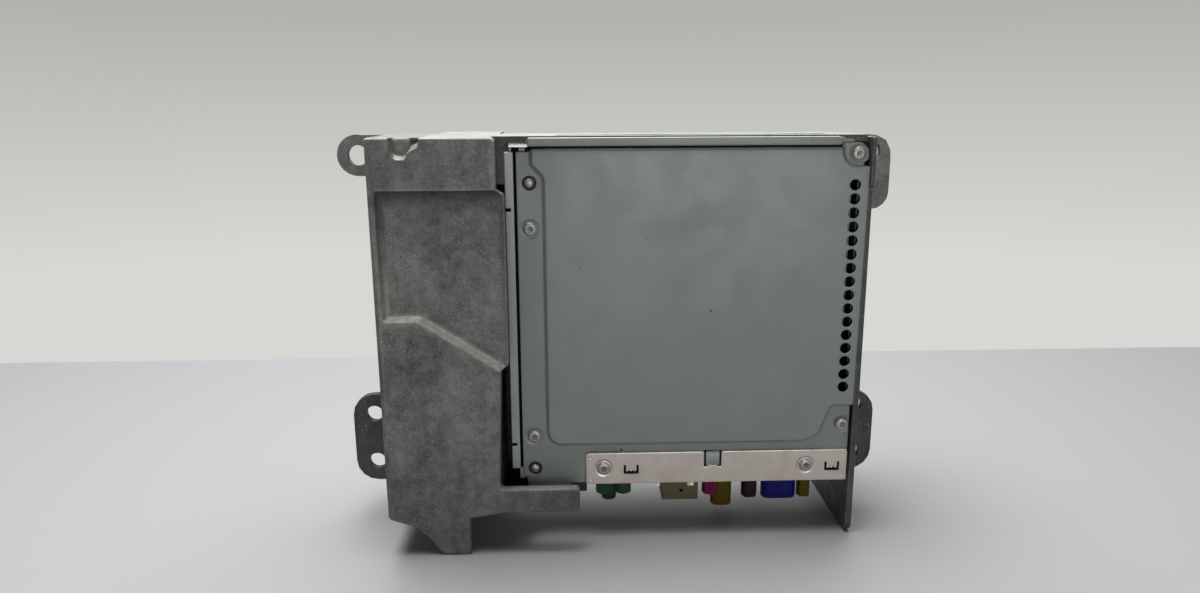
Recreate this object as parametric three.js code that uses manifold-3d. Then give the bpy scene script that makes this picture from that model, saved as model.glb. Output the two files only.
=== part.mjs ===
// Car radio main unit, standing on its connector side as in the photograph.
// A die-cast frame carries a sheet-steel case, which holds a slot-loading disc drive in front of the
// main board. The frame's left wing is a bay for the power board and its fan.
// Millimetres. X runs to the right, Y away from the viewer and Z up. While the pieces are drawn, X is 0
// midway between the ears' outer edges, Y is 0 on the wing's front face and Z is 0 on the table.

import * as THREE from "three";
import { mergeVertices } from "three/addons/utils/BufferGeometryUtils.js";
import Module from "manifold-3d";

const wasm = await Module();
wasm.setup();

// Driving dimensions of the whole unit

const discDiameter = 120;
const bodyHeight = 197.6;
const bodyDepth = 90;
const leftEarReach = 27.25;
const rightEarReach = 21.35;

// Room beside the disc inside the case, and from the case to the wing, the side plate and the top

const caseRoom = { left: 18.5, right: 19.4, wing: 10.6, plate: 0.5, top: 5.6 };

// Shared clearances, sections and facet counts

const gap = 0.3; // between pieces that rest on each other or run in each other
const overrun = 1; // how far a cutting tool passes the face it cuts
const castWall = 3;
const sheet = 1;
const boardThick = 1.6;
const roundSides = 24;
const smallSides = 12;
const fewSides = 8;
const hexSides = 6;
const arcSteps = 4;

// Die-cast frame: a wing with a bay behind it, a base plate with the ears, and a top wall

const wing = { width: 54.9, plate: 4.5, rim: 4, shelf: 3.6, corner: 4, taper: 2.1 };
const sidePlate = { thick: 3, topFront: 11.5, front: 13.5, stepDown: 22.6, stepSlope: 2, foot: 6, toe: 6 };
const caseWidth = caseRoom.left + discDiameter + caseRoom.right;
const bodyWidth = wing.width + caseRoom.wing + caseWidth + caseRoom.plate + sidePlate.thick;
const overEars = leftEarReach + bodyWidth + rightEarReach;
const bodyLeft = -overEars / 2 + leftEarReach;
const sidePlateOuter = bodyLeft + bodyWidth;
const sidePlateInner = sidePlateOuter - sidePlate.thick;
const coverRoom = 4; // behind the bay, for its cover and the cover's screws
const earFront = 51.5;
const earThick = 4;
const baseBack = earFront + earThick;
const baseBottom = 22;
const bayBack = bodyDepth - coverRoom;
const bayFloor = 19.1;
const frameRight = sidePlateInner - gap;

const pocket = { depth: 3, bevel: 2.2, topDrop: 22.6, bottom: 115.7, bendIn: 18.4, rightEnd: 91.9 };
const wingRight = bodyLeft + wing.width;
const pocketBack = pocket.depth + wing.plate;
const bayRight = wingRight - wing.taper;
const bay = {
  left: bodyLeft + castWall,
  right: bayRight - castWall,
  bottom: bayFloor + castWall,
  top: bodyHeight - castWall,
};
const bayMiddle = (bay.left + bay.right) / 2;
const notch = {
  left: 7.5,
  floor: 5.7,
  run: 9,
  rise: 2.1,
  shoulder: 1.7,
  width: 22.2,
  bevel: 1.6,
  depth: 2,
};
const boss = { inset: 14.2, radius: 6.7, set: 9, drop: 17, topDrop: 1.2 };
const arm = { top: 34.3, bottom: 21.3, reach: 90.7, inner: 2.5, tip: 1.5, slope: 14.7 };
const webReach = 14;
const toe = {
  right: 38.2,
  width: 13,
  heelIn: 6.3,
  heelRise: 8.2,
  ankleIn: 13.1,
  ankleRise: 14.7,
  corner: 2.5,
  thick: 4.5,
};

const leftEar = {
  hole: 4.4,
  inset: 10.95,
  top: 64.1,
  bottom: 16.4,
  holeLow: 27,
  holeHigh: 53.4,
  corner: 11,
};
const rightEar = {
  hole: 4.4,
  inset: 10.95,
  top: 62.3,
  bottom: 17.9,
  holeLow: 27.7,
  holeHigh: 54.3,
  corner: 11,
};
const topEar = { hole: 5, wall: 5.1, drop: 10.1, tall: 37.4, capDrop: 1.1, capCorner: 13, footCorner: 8.5 };
const standoff = { radius: 3, insetX: 5, reach: 6.2 };
const coverBoss = { radius: 3.6, inset: 2.6, length: 26, pilot: 1.3, pilotDepth: 9 };
const linkOpening = { overTuner: 2, height: 18, front: 42.5, depth: 6 };
const slot = { side: 3, front: 24.2, height: 6.4 };

// Sheet-steel case: lid, tray, rail, clip, top bar and connector strip

const lid = {
  left: wingRight + caseRoom.wing,
  right: sidePlateInner - caseRoom.plate,
  bottom: 31.3,
  top: bodyHeight - caseRoom.top,
  front: 14.1,
  emboss: 1.9,
  skirt: 8,
  stepIn: 1.8,
  stepHeight: 67.6,
  corner: 2,
  overlap: 0.7,
};
const lidBorder = lid.front + lid.emboss;
const plateau = {
  edgeIn: 4.4,
  topDrop: 7,
  kneeIn: 10,
  kneeDrop: 13,
  bottomRise: 18.2,
  corner: 7,
  rampStart: 22.2,
  rampEnd: 15,
  rampRise: 3.7,
  shoulderIn: 12.4,
  shoulderRise: 11.5,
  stepIn: 9.8,
  cutWidth: 11.9,
  cutDrop: 9.4,
  cutCorner: 4,
};
const vent = { radius: 2.5, pitch: 6.5, inset: 4.7, topDrop: 17.1, aboveStep: 9 };
const ventRun = lid.top - vent.topDrop - lid.stepHeight - vent.aboveStep;
const ventCount = Math.floor(ventRun / vent.pitch) + 1;
const trayFront = lidBorder + sheet + gap;
const trayBack = earFront - gap;
const tray = {
  left: lid.left + lid.overlap,
  right: lid.right - lid.stepIn,
  bottom: lid.bottom + sheet + gap,
  top: lid.top - sheet - gap,
  flange: 8,
  tabBottom: 51,
  tabTop: 64,
};
const trayIn = {
  left: tray.left + sheet,
  right: tray.right - sheet,
  bottom: tray.bottom + sheet,
  top: tray.top - sheet,
  front: trayFront + sheet,
  back: trayBack - sheet,
};
const railRoom = { wing: 3.7, top: 6.9, lowNotch: 11.8, highNotch: 27.1 };
const rail = {
  left: wingRight + railRoom.wing,
  width: 5.3,
  bottom: 37,
  top: bodyHeight - railRoom.top,
  joggle: 2.4,
  back: 49,
  notch: 1.4,
  notchIn: 3,
};
const railNotches = [rail.bottom + railRoom.lowNotch, rail.top - railRoom.highNotch];
const clipRoom = { rail: 1.4, lid: 2.7 };
const clip = {
  left: rail.left + clipRoom.rail,
  right: lid.left + clipRoom.lid,
  top: lid.top + gap,
  thick: 0.8,
  depth: 6,
  hook: 3.4,
};
const topBarRoom = { left: 3.2, right: 12, bottom: 1.1, height: 3.9 };
const topBarBottom = lid.top + topBarRoom.bottom;
const topBar = {
  left: lid.left + topBarRoom.left,
  right: lid.right - topBarRoom.right,
  bottom: topBarBottom,
  top: topBarBottom + topBarRoom.height,
  front: 12.4,
  back: 16,
};
const stripRoom = { left: 28.2, right: 0.4, notch: 5.55 };
const stripLeft = lid.left + stripRoom.left;
const stripRight = lid.right - stripRoom.right;
const strip = {
  left: stripLeft,
  right: stripRight,
  bottom: 28.6,
  top: 44.9,
  front: 14.6,
  corner: 1.5,
  notchLeft: (stripLeft + stripRight) / 2 - stripRoom.notch,
  notchWidth: 7.2,
  notchFloor: 37.5,
  flange: 10.2,
  windowWidth: 7.4,
  windowHeight: 4.7,
  windowBottom: 33.9,
  tab: 3,
  tabDrop: 1.6,
};
const stripPlaces = { window: 18.7, lastWindow: 11, tab: 33.6, lastTab: 50.4, screw: 8.9, lastScrew: 20.5 };
const stripWindows = [strip.left + stripPlaces.window, strip.right - stripPlaces.lastWindow];
const stripTabs = [strip.left + stripPlaces.tab, strip.left + stripPlaces.lastTab];

// Fasteners and damper pins

const head = { radius: 3.2, height: 1.7, dome: 0.5, shank: 1.2, socket: 1.3, socketDepth: 1.1 };
const screwLength = { lid: 2.5, strip: 4, rear: 6 };
const pin = { radius: 2.1, dome: 1.1, shank: 1.2, tail: 2, ringIn: 2.4, ringOut: 3.1 };
const fixingRoom = { left: 3.5, rightTop: 3.4, rightLow: 3.6, pinHigh: 15.4, screwHigh: 36.5, topDrop: 2.9 };
const fixing = {
  leftX: lid.left + fixingRoom.left,
  rightTopX: lid.right - fixingRoom.rightTop,
  rightLowX: lid.right - fixingRoom.rightLow,
  pinHigh: lid.top - fixingRoom.pinHigh,
  screwHigh: lid.top - fixingRoom.screwHigh,
  screwLow: 53.9,
  pinLow: 37.1,
  rightTop: lid.top - fixingRoom.topDrop,
  rightLow: 57.7,
};
const stripScrews = [strip.left + stripPlaces.screw, strip.right - stripPlaces.lastScrew];
const stripScrewZ = 37.1;

// Boards and what is on them

const boardRoom = { left: 2.3, right: 3.1, top: 2.7 };
const mainBoard = {
  left: trayIn.left + boardRoom.left,
  right: trayIn.right - boardRoom.right,
  bottom: 35,
  top: trayIn.top - boardRoom.top,
  front: 45.2,
  post: 3.4,
};
const mainBoardBack = mainBoard.front + boardThick;
const mainPostInset = 7;
const shield = { inset: 33, width: 52, drop: 21, tall: 48, height: 2.6 };
const tuner = { inset: 1, width: 25, rise: 17, tall: 44, height: 7.6 };
const chip = { width: 26, height: 17, rise: 24 };
const capacitor = { radius: 8, length: 25, overLink: 1, drop: 15, spread: 10.5 };
const tunerBottom = mainBoard.bottom + tuner.rise;
const linkBottom = tunerBottom + tuner.tall + linkOpening.overTuner;
const capacitorZ = linkBottom + linkOpening.height + capacitor.overLink + capacitor.radius;
const powerRoom = { left: 3, right: 2.8 };
const powerBoard = {
  left: bay.left + powerRoom.left,
  right: bay.right - powerRoom.right,
  bottom: 58,
  top: capacitorZ + capacitor.drop,
};
const powerBoardFront = pocketBack + standoff.reach + gap;
const powerBoardBack = powerBoardFront + boardThick;
const sleeve = {
  radius: 4.6,
  mouth: 3.4,
  bore: 10,
  pin: 0.7,
  pinLength: 4,
  baseHeight: 4.2,
  frontLift: 7.3,
};
const socketTop = 39.7;
const frontRow = 31;
const backRow = 40.3;
const middleRow = 35.6;
const socketBottom = {
  power: 17,
  green: 17,
  black: 9.4,
  beige: 11.4,
  magenta: 15.7,
  yellow: 5.2,
  brown: 11.4,
  blue: 10.9,
  olive: 11,
};
const socketHalf = { power: 13, black: 4.4, beige: 9.4, yellow: 5.4, blue: 8.9, olive: 4 };
const blueMouth = 4.4;

// The sockets stand in a row from the left; what width they leave over is shared out among their gaps.

const socketRoom = { left: 3, green: 0.8, black: 3, yellow: 7.6 };
const spareShares = { green: 40, beige: 155, magenta: 12, brown: 39, blue: 18, right: 116 };
const pairWidth = 4 * sleeve.radius + socketRoom.green;
const staggerWidth = sleeve.radius + socketRoom.yellow + socketHalf.yellow;
const singleHalves =
  sleeve.radius + socketHalf.power + socketHalf.beige + socketHalf.blue + socketHalf.olive;
const socketSpare = caseWidth - socketRoom.left - pairWidth - staggerWidth - 2 * singleHalves - gap;
const shareTotal = Object.values(spareShares).reduce((sum, each) => sum + each);
const spareGap = (name) => socketSpare * spareShares[name] / shareTotal;
const powerX = lid.left + socketRoom.left + socketHalf.power;
const greenX = powerX + socketHalf.power + spareGap("green") + sleeve.radius;
const green2X = greenX + 2 * sleeve.radius + socketRoom.green;
const beigeX = green2X + sleeve.radius + spareGap("beige") + socketHalf.beige;
const magentaX = beigeX + socketHalf.beige + spareGap("magenta") + sleeve.radius;
const yellowX = magentaX + socketRoom.yellow;
const brownX = yellowX + socketHalf.yellow + spareGap("brown") + sleeve.radius;
const blueX = brownX + sleeve.radius + spareGap("blue") + socketHalf.blue;
const blackX = greenX + socketRoom.black;
const oliveX = blueX + socketHalf.blue + gap + socketHalf.olive;
const windowRoom = { left: 2, right: 1.2, power: 0.6 };
const socketWindow = {
  left: greenX - sleeve.radius - windowRoom.left,
  right: oliveX + socketHalf.olive + windowRoom.right,
  front: 25.5,
  back: 47.2,
};
const powerWindow = {
  left: powerX - socketHalf.power - windowRoom.power,
  right: powerX + socketHalf.power + windowRoom.power,
};
const ribbon = { thick: 0.5, width: 14 };

// Disc drive, around the disc's resting place

const discLift = 0.35; // of the disc's middle over the middle of the lid
const disc = {
  x: lid.left + caseRoom.left + discDiameter / 2,
  z: (lid.bottom + lid.top) / 2 + discLift,
  front: 25.4,
  thick: 1.2,
};
const discBack = disc.front + disc.thick;
const deckRoom = { sockets: 15, top: 3.7, cutIn: 45.5, cutBelow: 14, flangeDrop: 14 };
const deckTop = trayIn.top - deckRoom.top;
const deck = {
  bottom: socketTop + sleeve.frontLift + deckRoom.sockets,
  top: deckTop,
  front: 36,
  thick: 1.2,
  cutRight: disc.x - deckRoom.cutIn,
  cutTop: disc.z - deckRoom.cutBelow,
  flangeTop: deckTop - deckRoom.flangeDrop,
};
const deckLeft = trayIn.left + gap;
const deckRight = trayIn.right - gap;
const deckBack = deck.front + deck.thick;
const flangeRoom = { below: 17.6, rightBelow: 8 };
const deckFlange = {
  left: trayIn.front + gap,
  right: 24,
  bottom: disc.z - flangeRoom.below,
  rightBottom: disc.z - flangeRoom.rightBelow,
};
const table = { radius: 15, thick: 2.4, cone: 7.2, coneTip: 5.6, coneStraight: 1.6, coneRise: 2.9 };
const tableNeck = { radius: 5, length: 4, shaft: 1.5, hole: 4 };
const spindle = { radius: 13.5, length: 4.2, boreDepth: 2.2 };
const clampArm = { front: 19.4, thick: 1.2, barrel: 2.6, ring: 12, width: 26, tipWidth: 16, pivotIn: 5.5 };
const pivotX = deckLeft + clampArm.pivotIn;
const lug = { thick: 2, reach: 8.5, back: 24.4 };
const puck = { radius: 14, thick: 4, neck: 7.4, cap: 9.6, capThick: 1, recess: 8, recessDepth: 2.2 };
const hingePin = { radius: 1, overhang: 2.4 };
const rods = { y: 33, radius: 1.5, spread: 20, start: 6.5, endIn: 3.4, post: 4, postHeight: 7 };
const rodsLeft = disc.x + rods.start;
const rodsRight = deckRight - rods.endIn;
const sled = {
  halfWidth: 10,
  front: 30.2,
  back: 35.6,
  lensStart: 24,
  lens: 4,
  lensRise: 2.4,
  ear: 3.2,
  finger: 3,
};
const motor = { radius: 6, length: 20, nose: 2, noseLength: 1, seat: 5.8 };
const sledMotorIn = 11.5;
const sledMotorLeft = disc.x - sledMotorIn;
const screwRoom = { rise: 30, start: 2, end: 5.4, tip: 0.9 };
const leadScrew = {
  z: disc.z + screwRoom.rise,
  y: 33.4,
  radius: 1.7,
  core: 1.4,
  journal: 1,
  rings: 10,
  start: sledMotorLeft + motor.length + motor.noseLength + screwRoom.start,
  end: rodsRight - screwRoom.end,
  tip: rodsRight - screwRoom.tip,
};
const earRoom = { left: 3, right: 6.8 };
const rollerEar = { left: deckLeft + earRoom.left, right: deckRight - earRoom.right, thick: 2, half: 4 };
const rollerRoom = { top: 12, left: 1.5, right: 0.5, shaft: 1 };
const roller = {
  z: lid.top - rollerRoom.top,
  y: 30.6,
  radius: 3.5,
  left: disc.x - discDiameter / 2 - rollerRoom.left,
  right: disc.x + discDiameter / 2 + rollerRoom.right,
  shaft: 1.2,
  shaftLeft: rollerEar.left - rollerRoom.shaft,
  shaftRight: rollerEar.right + rollerEar.thick + rollerRoom.shaft,
};
const gearRoom = 3.4; // from the roller's rubber to its gear
const gear = {
  module: 0.8,
  rollerTeeth: 16,
  pinionTeeth: 10,
  width: 4,
  left: roller.right + gearRoom,
  drop: 10,
  addendum: 0.62,
};
const toothShares = { rootHalf: 0.27, tipHalf: 0.1 };

// Rear of the frame: heat sink, bay cover and fan

const sink = { inset: 2.7, bottom: 30, topDrop: 7.6, plate: 3, backIn: 6, fins: 15, fin: 2.2 };
const sinkBack = bodyDepth - sink.backIn;
const sinkLeft = bayRight + sink.inset;
const sinkTop = bodyHeight - sink.topDrop;
const sinkFront = baseBack + gap;
const sideFlange = { width: 14, bottom: 32, topDrop: 13.6, thick: 3, lowScrew: 18, highScrew: 18 };
const sideFlangeTop = bodyHeight - sideFlange.topDrop;
const sideScrewHeights = [sideFlange.bottom + sideFlange.lowScrew, sideFlangeTop - sideFlange.highScrew];
const cover = { thick: 1.2, inset: 0.5, hole: 2.2 };
const coverRings = [{ radius: 8, count: 8 }, { radius: 14.4, count: 14 }];
const coverFront = bayBack + gap;
const fanRoom = { drop: 35.6, side: 3.4, rim: 1.4 };
const fanSize = bay.right - bay.left - 2 * fanRoom.side;
const fan = {
  size: fanSize,
  depth: 14,
  bore: fanSize / 2 - fanRoom.rim,
  hub: 9.5,
  z: bodyHeight - fanRoom.drop,
  arm: 3,
  mount: 9,
  mountThick: 1.7,
  shaft: 1,
};
const bladeGap = 1; // from the blades' tips to the fan's bore
const blade = {
  root: 8.5,
  tip: fan.bore - bladeGap,
  thick: 1,
  chord: 9,
  count: 7,
  pitchDegrees: 35,
  set: 5.5,
};

// Finishes

const finish = (colour, roughness, metalness) => ({ colour, roughness, metalness });
const castGrey = finish(0x6b6c69, 0.62, 0.75);
const caseGrey = finish(0x707873, 0.5, 0.25);
const zinc = finish(0xaca59c, 0.38, 0.85);
const steel = finish(0xb4b6b4, 0.32, 0.95);
const sinkGrey = finish(0x77787a, 0.55, 0.8);
const blackPlastic = finish(0x17181a, 0.55, 0);
const blackRubber = finish(0x101010, 0.85, 0);
const boardGreen = finish(0x1d4a33, 0.6, 0.05);
const canSilver = finish(0xa9aba6, 0.42, 0.85);
const paleMoulding = finish(0xcfccc2, 0.6, 0);
const ribbonWhite = finish(0xd8d6cd, 0.6, 0);
const ferrite = finish(0x2c2c2e, 0.7, 0.1);

// Solids

function solidOf(geometry) {
  const bare = geometry.clone();
  bare.deleteAttribute("normal");
  bare.deleteAttribute("uv");
  const merged = mergeVertices(bare);
  const corners = merged.index.array;
  const kept = [];
  for (let i = 0; i < corners.length; i += 3) {
    const [a, b, c] = [corners[i], corners[i + 1], corners[i + 2]];
    if (a !== b && b !== c && c !== a) {
      kept.push(a, b, c);
    }
  }
  const mesh = (order) => new wasm.Mesh({
    numProp: 3,
    vertProperties: new Float32Array(merged.attributes.position.array),
    triVerts: Uint32Array.from(order),
  });
  const solid = new wasm.Manifold(mesh(kept));
  return solid.volume() < 0 ? new wasm.Manifold(mesh(kept.reverse())) : solid;
}

const joined = (solids) => solids.reduce((whole, each) => whole.add(each));
const cut = (solid, tools) => tools.reduce((rest, tool) => rest.subtract(tool), solid);

function box(x, y, z) {
  const geometry = new THREE.BoxGeometry(x[1] - x[0], y[1] - y[0], z[1] - z[0]);
  geometry.translate((x[0] + x[1]) / 2, (y[0] + y[1]) / 2, (z[0] + z[1]) / 2);
  return solidOf(geometry);
}

// Each corner is [across, up, radius]; a corner with no radius stays sharp.
function outline(corners) {
  const points = [];
  corners.forEach(([across, up, radius = 0], i) => {
    const corner = new THREE.Vector2(across, up);
    if (radius === 0) {
      points.push(corner);
      return;
    }
    const before = corners[(i + corners.length - 1) % corners.length];
    const after = corners[(i + 1) % corners.length];
    const back = new THREE.Vector2(before[0], before[1]).sub(corner).normalize();
    const ahead = new THREE.Vector2(after[0], after[1]).sub(corner).normalize();
    const half = Math.acos(back.dot(ahead)) / 2;
    const centre = back.clone().add(ahead).normalize().multiplyScalar(radius / Math.sin(half)).add(corner);
    const start = back.multiplyScalar(radius / Math.tan(half)).add(corner).sub(centre);
    const end = ahead.multiplyScalar(radius / Math.tan(half)).add(corner).sub(centre);
    const turn = Math.atan2(start.cross(end), start.dot(end));
    for (let step = 0; step <= arcSteps; step += 1) {
      points.push(start.clone().rotateAround(new THREE.Vector2(), (turn * step) / arcSteps).add(centre));
    }
  });
  return points;
}

function shapeOf(points, holes = []) {
  const shape = new THREE.Shape(points);
  holes.forEach(([across, up, radius, sides = roundSides]) => {
    const ring = [];
    for (let i = 0; i < sides; i += 1) {
      const angle = (2 * Math.PI * i) / sides;
      ring.push(new THREE.Vector2(across + radius * Math.cos(angle), up + radius * Math.sin(angle)));
    }
    shape.holes.push(new THREE.Path(ring));
  });
  return shape;
}

const extruded = (points, depth, holes) =>
  new THREE.ExtrudeGeometry(shapeOf(points, holes), { depth, bevelEnabled: false });

// An outline in X and Z, from the near face to the far face along Y.
function plateY(points, near, far, holes) {
  return solidOf(extruded(points, far - near, holes).rotateX(Math.PI / 2).translate(0, far, 0));
}

// An outline in Y and Z, along X.
function plateX(points, left, right, holes) {
  const geometry = extruded(points, right - left, holes);
  return solidOf(geometry.rotateX(Math.PI / 2).rotateZ(Math.PI / 2).translate(left, 0, 0));
}

// An outline in X and Y, along Z.
function plateZ(points, low, high, holes) {
  return solidOf(extruded(points, high - low, holes).translate(0, 0, low));
}

// A cutting tool that has its full outline on the near side and is drawn in by the bevel at its floor.
function sinkTool(points, floor, depth, bevel) {
  const length = overrun + depth;
  const geometry = new THREE.ExtrudeGeometry(shapeOf(points), {
    depth: length,
    bevelThickness: depth,
    bevelSize: bevel,
    bevelOffset: -bevel,
    bevelSegments: 1,
  });
  return solidOf(geometry.rotateX(Math.PI / 2).translate(0, floor - depth, 0));
}

const rectangle = (x, z, radius = 0) => outline([
  [x[0], z[0], radius],
  [x[1], z[0], radius],
  [x[1], z[1], radius],
  [x[0], z[1], radius],
]);

// A turned piece: pairs of radius and place along the axis, closed on the axis by the caller.
function turnedY(profile, x, z, sides = roundSides) {
  const points = profile.map(([radius, along]) => new THREE.Vector2(radius, along));
  return solidOf(new THREE.LatheGeometry(points, sides).translate(x, 0, z));
}

function turnedX(profile, y, z, sides = roundSides) {
  const points = profile.map(([radius, along]) => new THREE.Vector2(radius, along));
  return solidOf(new THREE.LatheGeometry(points, sides).rotateZ(-Math.PI / 2).translate(0, y, z));
}

const rodY = (x, z, radius, near, far, sides = roundSides) =>
  turnedY([[0, near], [radius, near], [radius, far], [0, far]], x, z, sides);

const rodX = (y, z, radius, left, right, sides = roundSides) =>
  turnedX([[0, left], [radius, left], [radius, right], [0, right]], y, z, sides);

function rodZ(x, y, radius, low, high, sides = roundSides) {
  const geometry = new THREE.CylinderGeometry(radius, radius, high - low, sides);
  return solidOf(geometry.rotateX(Math.PI / 2).translate(x, y, (low + high) / 2));
}

const part = new THREE.Group();
const unit = new THREE.Group();
unit.position.set(0, -bodyDepth / 2, 0);
part.add(unit);

function piece(name, solid, look) {
  const { vertProperties, triVerts } = solid.getMesh();
  const shared = new THREE.BufferGeometry();
  shared.setAttribute("position", new THREE.BufferAttribute(new Float32Array(vertProperties), 3));
  shared.setIndex(new THREE.BufferAttribute(new Uint32Array(triVerts), 1));
  const geometry = shared.toNonIndexed();
  geometry.computeVertexNormals();
  const material = new THREE.MeshStandardMaterial({
    color: look.colour,
    roughness: look.roughness,
    metalness: look.metalness,
  });
  const mesh = new THREE.Mesh(geometry, material);
  mesh.name = name;
  unit.add(mesh);
}

// Die-cast frame

function wingPlate() {
  const pocketTop = bodyHeight - pocket.topDrop;
  const shelfRight = wingRight + wing.shelf;
  const armRight = bodyLeft + arm.reach;
  const toeRight = bodyLeft + toe.right;
  const toeLeft = toeRight - toe.width;
  return plateY(outline([
    [bodyLeft, bodyHeight],
    [wingRight, bodyHeight, wing.corner / 2],
    [wingRight, pocketTop],
    [shelfRight, pocketTop - pocket.bevel, wing.corner / 2],
    [shelfRight, pocket.rightEnd + pocket.bevel, wing.corner / 2],
    [wingRight, pocket.rightEnd],
    [bayRight, arm.top, arm.inner],
    [armRight, arm.top, arm.tip],
    [armRight, arm.bottom, arm.tip],
    [bayRight + wing.taper, arm.bottom],
    [bayRight - arm.slope + wing.taper, bayFloor],
    [toeRight, bayFloor, arm.tip],
    [toeRight, 0, toe.corner / 2],
    [toeLeft, 0, toe.corner],
    [toeLeft - toe.heelIn, toe.heelRise, toe.corner],
    [toeLeft - toe.ankleIn, toe.ankleRise, toe.corner],
    [bodyLeft, bayFloor, toe.corner],
  ]), 0, pocketBack);
}

function pocketTool() {
  const past = wingRight + wing.shelf + pocket.bevel + overrun;
  const bendX = bodyLeft + pocket.bendIn;
  const fall = (pocket.bottom - pocket.rightEnd) / (wingRight - bendX);
  return sinkTool(outline([
    [bodyLeft + wing.rim, bodyHeight - pocket.topDrop],
    [bodyLeft + wing.rim, pocket.bottom],
    [bendX, pocket.bottom],
    [past, pocket.bottom - fall * (past - bendX)],
    [past, bodyHeight - pocket.topDrop],
  ]), pocket.depth, pocket.depth, pocket.bevel);
}

function topNotchTool() {
  const left = bodyLeft + notch.left;
  const floor = bodyHeight - notch.floor;
  const past = bodyHeight + notch.bevel + overrun;
  return sinkTool(outline([
    [left, past],
    [left, floor + notch.shoulder],
    [left + notch.shoulder, floor],
    [left + notch.run, floor],
    [left + notch.run + notch.shoulder, floor + notch.rise],
    [bodyLeft + notch.width, bodyHeight],
    [bodyLeft + notch.width, past],
  ]), notch.depth + notch.bevel, notch.bevel, notch.bevel);
}

// The front plate's thin parts, below and beside the bay, are as thick as the arm.
function thinBackTools() {
  const back = [wing.plate, pocketBack + overrun];
  return [
    box([bayRight, bodyLeft + arm.reach + overrun], back, [bayFloor - overrun, arm.top + arm.inner]),
    box([bodyLeft - overrun, bayRight], back, [-overrun, bayFloor]),
  ];
}

function leftTopEar() {
  const holeX = -overEars / 2 + leftEar.inset;
  const holeZ = bodyHeight - topEar.drop;
  const radius = topEar.hole + topEar.wall;
  const tongue = rectangle([holeX, bodyLeft + overrun], [holeZ - radius, holeZ + radius - gap]);
  const blank = joined([rodY(holeX, holeZ, radius, earFront, baseBack), plateY(tongue, earFront, baseBack)]);
  return cut(blank, [rodY(holeX, holeZ, topEar.hole, earFront - overrun, baseBack + overrun)]);
}

function leftLowEar() {
  const edge = -overEars / 2;
  const holeX = edge + leftEar.inset;
  return plateY(outline([
    [edge, leftEar.bottom, leftEar.corner],
    [bodyLeft + overrun, leftEar.bottom],
    [bodyLeft + overrun, leftEar.top],
    [edge, leftEar.top, leftEar.corner],
  ]), earFront, baseBack, [leftEar.holeLow, leftEar.holeHigh].map((z) => [holeX, z, leftEar.hole]));
}

const bossPlaces = [bay.left + coverBoss.inset, bay.right - coverBoss.inset].flatMap((x) =>
  [bay.bottom + coverBoss.inset, bay.top - coverBoss.inset].map((z) => [x, z]));

const standoffPlaces = [powerBoard.left + standoff.insetX, powerBoard.right - standoff.insetX].flatMap((x) =>
  [powerBoard.bottom + standoff.insetX, powerBoard.top - standoff.insetX].map((z) => [x, z]));

const sideScrewX = frameRight - sideFlange.width / 2;

const slotTool = (low, high) => box(
  [disc.x - discDiameter / 2 - slot.side, disc.x + discDiameter / 2 + slot.side],
  [slot.front, slot.front + slot.height],
  [low - overrun, high + overrun],
);

const linkTool = (left, right) => box(
  [left - overrun, right + overrun],
  [linkOpening.front, linkOpening.front + linkOpening.depth],
  [linkBottom, linkBottom + linkOpening.height],
);

function chassisCasting() {
  const bayHeight = [bayFloor, bodyHeight];
  const behindPlate = [pocketBack - overrun, bayBack];
  const barBack = topBar.back + gap;
  const toeX = [bodyLeft + toe.right - toe.width, bodyLeft + toe.right];
  const bossZ = [bodyHeight - boss.drop, bodyHeight - boss.topDrop];
  const solids = [
    cut(wingPlate(), [pocketTool(), topNotchTool(), ...thinBackTools()]),
    box([bodyLeft, bay.left], behindPlate, bayHeight),
    box([bay.right, bayRight], behindPlate, bayHeight),
    box([bodyLeft, bayRight], behindPlate, [bayFloor, bay.bottom]),
    box([bodyLeft, bayRight], behindPlate, [bay.top, bodyHeight]),
    box([bay.right, frameRight], [earFront, baseBack], [baseBottom, bodyHeight]),
    box([bayRight - overrun, frameRight], [barBack, baseBack], [bay.top, bodyHeight]),
    box([bayRight - overrun, rail.left - gap], [barBack, barBack + castWall],
      [topBar.bottom - boss.drop, bodyHeight]),
    box([bayRight - overrun, bayRight + webReach], [overrun, baseBack], [arm.bottom, arm.bottom + castWall]),
    plateY(outline([
      [toeX[0], 0, toe.corner],
      [toeX[1], 0, toe.corner],
      [toeX[1], bay.bottom],
      [toeX[0], bay.bottom],
    ]), bayBack - toe.thick, bayBack),
    rodZ(bodyLeft + boss.inset, boss.set, boss.radius, ...bossZ),
    leftTopEar(),
    leftLowEar(),
    ...bossPlaces.map(([x, z]) =>
      rodY(x, z, coverBoss.radius, bayBack - coverBoss.length, bayBack, smallSides)),
    ...standoffPlaces.map(([x, z]) =>
      rodY(x, z, standoff.radius, pocketBack - overrun, powerBoardFront - gap, smallSides)),
  ];
  const tools = [
    slotTool(bay.top, bodyHeight),
    linkTool(bay.right, bayRight),
    ...bossPlaces.map(([x, z]) =>
      rodY(x, z, coverBoss.pilot + gap, bayBack - coverBoss.pilotDepth, bayBack + overrun, smallSides)),
    ...sideScrewHeights.map((z) =>
      rodY(sideScrewX, z, head.shank + gap, earFront - overrun, baseBack + overrun, smallSides)),
  ];
  return cut(joined(solids), tools);
}

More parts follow.
